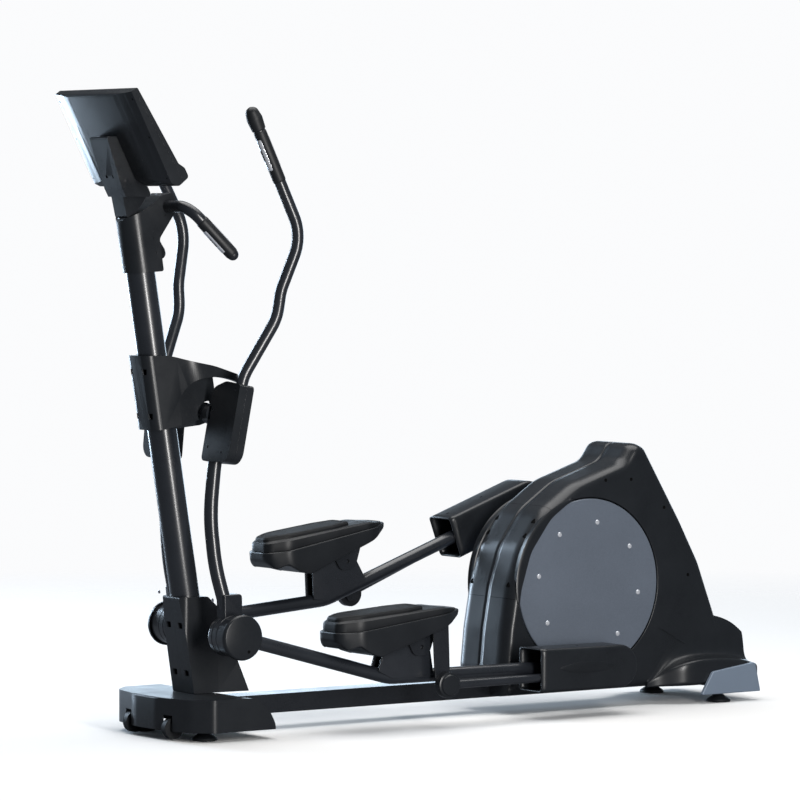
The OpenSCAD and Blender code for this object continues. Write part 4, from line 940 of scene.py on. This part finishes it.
def screws():
    """Screws of the arm casings and the tube clamps, and the bright ends of the wheels' axle."""
    clamp_head = ((5, -1), (5, 0.7), (4.3, 1.2), (3.4, 1.2), (3.2, 0.3), (0, 0.3))
    axle_head = ((6.8, -1.2), (6.8, 1.2), (5.8, 2.2), (2.4, 2.6), (0, 2.2))
    for name in SIDES:
        heads = [skin(CASING[name](turned_on((-19, y, z), (-1, 0, 0), SCREW)), caps=False)
                 for y, z in CASING_SCREWS]
        place = ARM[name]
        clamp = turned_on((-38, 178, -498), (-1, 0, -0.07), clamp_head)
        heads.append(skin(place(clamp), caps=False))
        make_piece("casing_screws_" + name, heads, "steel", "swing_" + name, crease=40)
        ends = turned_on((-43, 117.6, 33), (0, 1, 0), axle_head)
        make_piece("axle_end_" + name, [skin(MACHINE[name](ends), caps=False)], "chrome", "frame")


# ---------------------------------------------------------------- stage
def aimed(name, data, location, target):
    """Object at location whose local -Z looks at the target."""
    thing = bpy.data.objects.new(name, data)
    bpy.context.scene.collection.objects.link(thing)
    thing.location = location
    thing.rotation_euler = (Vector(target) - Vector(location)).to_track_quat("-Z", "Y").to_euler()
    return thing


def soft_light(name, location, target, size, power, color):
    """Rectangular area light aimed at the target."""
    data = bpy.data.lights.new(name, "AREA")
    data.shape = "RECTANGLE"
    data.size, data.size_y = size
    data.energy = power
    data.color = color
    return aimed(name, data, location, target)


def make_world(scene):
    """Pale surroundings: near-white as the backdrop, and a dimmer, cooler light on the object."""
    world = bpy.data.worlds.new("Pale room")
    scene.world = world
    world.use_nodes = True
    tree = world.node_tree
    light = tree.nodes["Background"]
    light.inputs["Color"].default_value = (0.78, 0.88, 1.0, 1)
    light.inputs["Strength"].default_value = 0.15
    backdrop = tree.nodes.new("ShaderNodeBackground")
    backdrop.inputs["Color"].default_value = (0.965, 0.97, 0.98, 1)
    pick = tree.nodes.new("ShaderNodeMixShader")
    tree.links.new(tree.nodes.new("ShaderNodeLightPath").outputs["Is Camera Ray"], pick.inputs["Fac"])
    tree.links.new(light.outputs["Background"], pick.inputs[1])
    tree.links.new(backdrop.outputs["Background"], pick.inputs[2])
    tree.links.new(pick.outputs["Shader"], tree.nodes["World Output"].inputs["Surface"])


def make_floor():
    """Pale floor, a disc that fades out before its rim so that no horizon shows."""
    reach = 9.0
    angles = np.linspace(0, 2 * math.pi, 96, endpoint=False)
    ring = np.stack([reach * np.cos(angles), reach * np.sin(angles), 0 * angles], -1)
    mesh = bpy.data.meshes.new("floor")
    mesh.from_pydata(ring.tolist(), [], [list(range(len(ring)))])
    floor = bpy.data.objects.new("floor", mesh)
    bpy.context.scene.collection.objects.link(floor)
    graph = Graph("floor_pale")
    tone = graph.noise(1.5, 2.0)
    pale = graph.blend(tone, (0.9, 0.895, 0.885), (0.915, 0.91, 0.9))
    seen = graph.add("ShaderNodeLightPath").outputs["Is Camera Ray"]
    dim = graph.add("ShaderNodeMix", data_type="RGBA")
    graph.tree.links.new(seen, dim.inputs["Factor"])
    sockets = [socket for socket in dim.inputs if socket.type == "RGBA"]
    sockets[0].default_value = (0.16, 0.17, 0.19, 1)
    graph.tree.links.new(pale, sockets[1])
    graph.feed("Base Color", [socket for socket in dim.outputs if socket.type == "RGBA"][0])
    graph.shader.inputs["Roughness"].default_value = 0.9
    graph.shader.inputs["Specular IOR Level"].default_value = 0.2
    span = graph.add("ShaderNodeVectorMath", {0: graph.place}, operation="LENGTH").outputs["Value"]
    graph.feed("Alpha", graph.span(span, 1.0, 0.0, 1.6, 5.5))
    mesh.materials.append(graph.material)


CAMERA_LENS, CAMERA_AT = 211.5, (-6.699, -10.828, 1.440)
CAMERA_HEADING, CAMERA_DIP = 34.6, 2.376


def build_stage():
    """Pale floor, pale surroundings, four soft lights and the camera."""
    scene = bpy.context.scene
    scene.view_settings.view_transform = "Standard"
    make_world(scene)
    make_floor()
    soft_light("rim_left", (-1.2, 5.5, 1.5), (-0.3, 0, 0.9), (1.1, 3.2), 240, (0.66, 0.82, 1.0))
    soft_light("back_wall", (4.4, 6.4, 1.3), (0, 0, 0.6), (7.0, 2.4), 150, (0.68, 0.84, 1.0))
    soft_light("key_strip", (-1.2, -5.8, 1.5), (-0.5, 0, 0.9), (0.9, 4.0), 330, (1.0, 0.98, 0.96))
    soft_light("overhead", (0.3, 0.3, 5.5), (0, 0, 0), (6.0, 5.0), 340, (1.0, 0.99, 0.98))
    camera = bpy.data.cameras.new("camera")
    camera.sensor_width = 36
    camera.lens = CAMERA_LENS
    camera.clip_end = 200
    eye = Vector((MACHINE_X + CAMERA_AT[0], *CAMERA_AT[1:]))
    heading, dip = math.radians(CAMERA_HEADING), math.radians(CAMERA_DIP)
    ahead = Vector((math.sin(heading) * math.cos(dip), math.cos(heading) * math.cos(dip), -math.sin(dip)))
    scene.camera = aimed("camera", camera, eye, eye + ahead)


# ---------------------------------------------------------------- operators
def soft_covers():
    """Moulded covers with rounded edges."""
    edge = bpy.context.scene.trainer_sizes.cover_edge / MM
    for node in SOFT_COVERS:
        softened(node, edge)


def soft_plates():
    """Steel plates with narrow broken edges."""
    edge = bpy.context.scene.trainer_sizes.plate_edge / MM
    for node in SOFT_PLATES:
        softened(node, edge, segments=2)


class TRAINER_OT_stage(bpy.types.Operator):
    """Build the floor, the lights and the camera"""
    bl_idname = "trainer.stage"
    bl_label = "Stage"

    def execute(self, context):
        build_stage()
        return {"FINISHED"}


class TRAINER_OT_finishes(bpy.types.Operator):
    """Make every finish and dress the CAD nodes that are shown as they are"""
    bl_idname = "trainer.finishes"
    bl_label = "Finishes"

    def execute(self, context):
        make_finishes(context.scene.trainer_finishes)
        dress_plain_nodes()
        return {"FINISHED"}


class TRAINER_OT_covers(bpy.types.Operator):
    """Give the moulded covers soft edges"""
    bl_idname = "trainer.covers"
    bl_label = "Covers"

    def execute(self, context):
        soft_covers()
        return {"FINISHED"}


class TRAINER_OT_plates(bpy.types.Operator):
    """Give the steel plates broken edges"""
    bl_idname = "trainer.plates"
    bl_label = "Plates"

    def execute(self, context):
        soft_plates()
        return {"FINISHED"}


class TRAINER_OT_handles(bpy.types.Operator):
    """Build the two moving handles"""
    bl_idname = "trainer.handles"
    bl_label = "Moving handles"

    def execute(self, context):
        handles()
        return {"FINISHED"}


class TRAINER_OT_handlebar(bpy.types.Operator):
    """Build the fixed handlebar"""
    bl_idname = "trainer.handlebar"
    bl_label = "Fixed handlebar"

    def execute(self, context):
        fixed_handlebar()
        return {"FINISHED"}


class TRAINER_OT_grips(bpy.types.Operator):
    """Build the sleeves and sensor plates of all four grips"""
    bl_idname = "trainer.grips"
    bl_label = "Grips"

    def execute(self, context):
        grips()
        return {"FINISHED"}


class TRAINER_OT_swing_arms(bpy.types.Operator):
    """Build the lower swing tubes with their bosses and clamps"""
    bl_idname = "trainer.swing_arms"
    bl_label = "Swing arms"

    def execute(self, context):
        swing_arms()
        return {"FINISHED"}


class TRAINER_OT_pedal_levers(bpy.types.Operator):
    """Build the lever tubes with their drums and cheeks"""
    bl_idname = "trainer.pedal_levers"
    bl_label = "Pedal levers"

    def execute(self, context):
        pedal_levers()
        return {"FINISHED"}


class TRAINER_OT_hub_caps(bpy.types.Operator):
    """Build the caps of the front joints"""
    bl_idname = "trainer.hub_caps"
    bl_label = "Hub caps"

    def execute(self, context):
        hub_caps()
        return {"FINISHED"}


class TRAINER_OT_control_rods(bpy.types.Operator):
    """Build the control rods with their end caps"""
    bl_idname = "trainer.control_rods"
    bl_label = "Control rods"

    def execute(self, context):
        control_rods()
        return {"FINISHED"}


class TRAINER_OT_pedals(bpy.types.Operator):
    """Build the pedal trays, pads and insoles"""
    bl_idname = "trainer.pedals"
    bl_label = "Pedals"

    def execute(self, context):
        pedals()
        return {"FINISHED"}


class TRAINER_OT_screws(bpy.types.Operator):
    """Build the screws and axle ends"""
    bl_idname = "trainer.screws"
    bl_label = "Screws"

    def execute(self, context):
        screws()
        return {"FINISHED"}


class TRAINER_OT_housing(bpy.types.Operator):
    """Build the crank housing, its feet, the painted shade of its pockets and screw holes, and its seams"""
    bl_idname = "trainer.housing"
    bl_label = "Housing"

    def execute(self, context):
        housings()
        fenders()
        housing_pocket_shade_and_seams()
        return {"FINISHED"}


class TRAINER_OT_crank_covers(bpy.types.Operator):
    """Build the crank covers and their leaf inserts"""
    bl_idname = "trainer.crank_covers"
    bl_label = "Crank covers"

    def execute(self, context):
        crank_covers()
        leaf_inserts()
        return {"FINISHED"}


OPERATORS = (TRAINER_OT_stage, TRAINER_OT_finishes, TRAINER_OT_covers, TRAINER_OT_plates, TRAINER_OT_handles,
             TRAINER_OT_handlebar, TRAINER_OT_grips, TRAINER_OT_swing_arms, TRAINER_OT_pedal_levers,
             TRAINER_OT_hub_caps, TRAINER_OT_control_rods, TRAINER_OT_pedals, TRAINER_OT_screws,
             TRAINER_OT_housing, TRAINER_OT_crank_covers)


class TRAINER_PT_pieces(bpy.types.Panel):
    """Lists the steps that build the trainer's looks"""
    bl_label = "Elliptical trainer"
    bl_space_type = "VIEW_3D"
    bl_region_type = "UI"
    bl_category = "Trainer"

    def draw(self, context):
        for operator in OPERATORS:
            self.layout.operator(operator.bl_idname)


CLASSES = [TrainerFinishes, TrainerSizes, *OPERATORS, TRAINER_PT_pieces]


def register():
    """Register the classes and hang the property groups on the scene."""
    for item in CLASSES:
        bpy.utils.register_class(item)
    bpy.types.Scene.trainer_finishes = bpy.props.PointerProperty(type=TrainerFinishes)
    bpy.types.Scene.trainer_sizes = bpy.props.PointerProperty(type=TrainerSizes)


def unregister():
    """Take back what register did."""
    del bpy.types.Scene.trainer_sizes
    del bpy.types.Scene.trainer_finishes
    for item in reversed(CLASSES):
        bpy.utils.unregister_class(item)


def main():
    """Build everything in order."""
    register()
    bpy.ops.trainer.stage()
    bpy.ops.trainer.finishes()
    bpy.ops.trainer.covers()
    bpy.ops.trainer.plates()
    bpy.ops.trainer.handles()
    bpy.ops.trainer.handlebar()
    bpy.ops.trainer.grips()
    bpy.ops.trainer.swing_arms()
    bpy.ops.trainer.pedal_levers()
    bpy.ops.trainer.hub_caps()
    bpy.ops.trainer.control_rods()
    bpy.ops.trainer.pedals()
    bpy.ops.trainer.screws()
    bpy.ops.trainer.housing()
    bpy.ops.trainer.crank_covers()


if __name__ == "__main__":
    main()
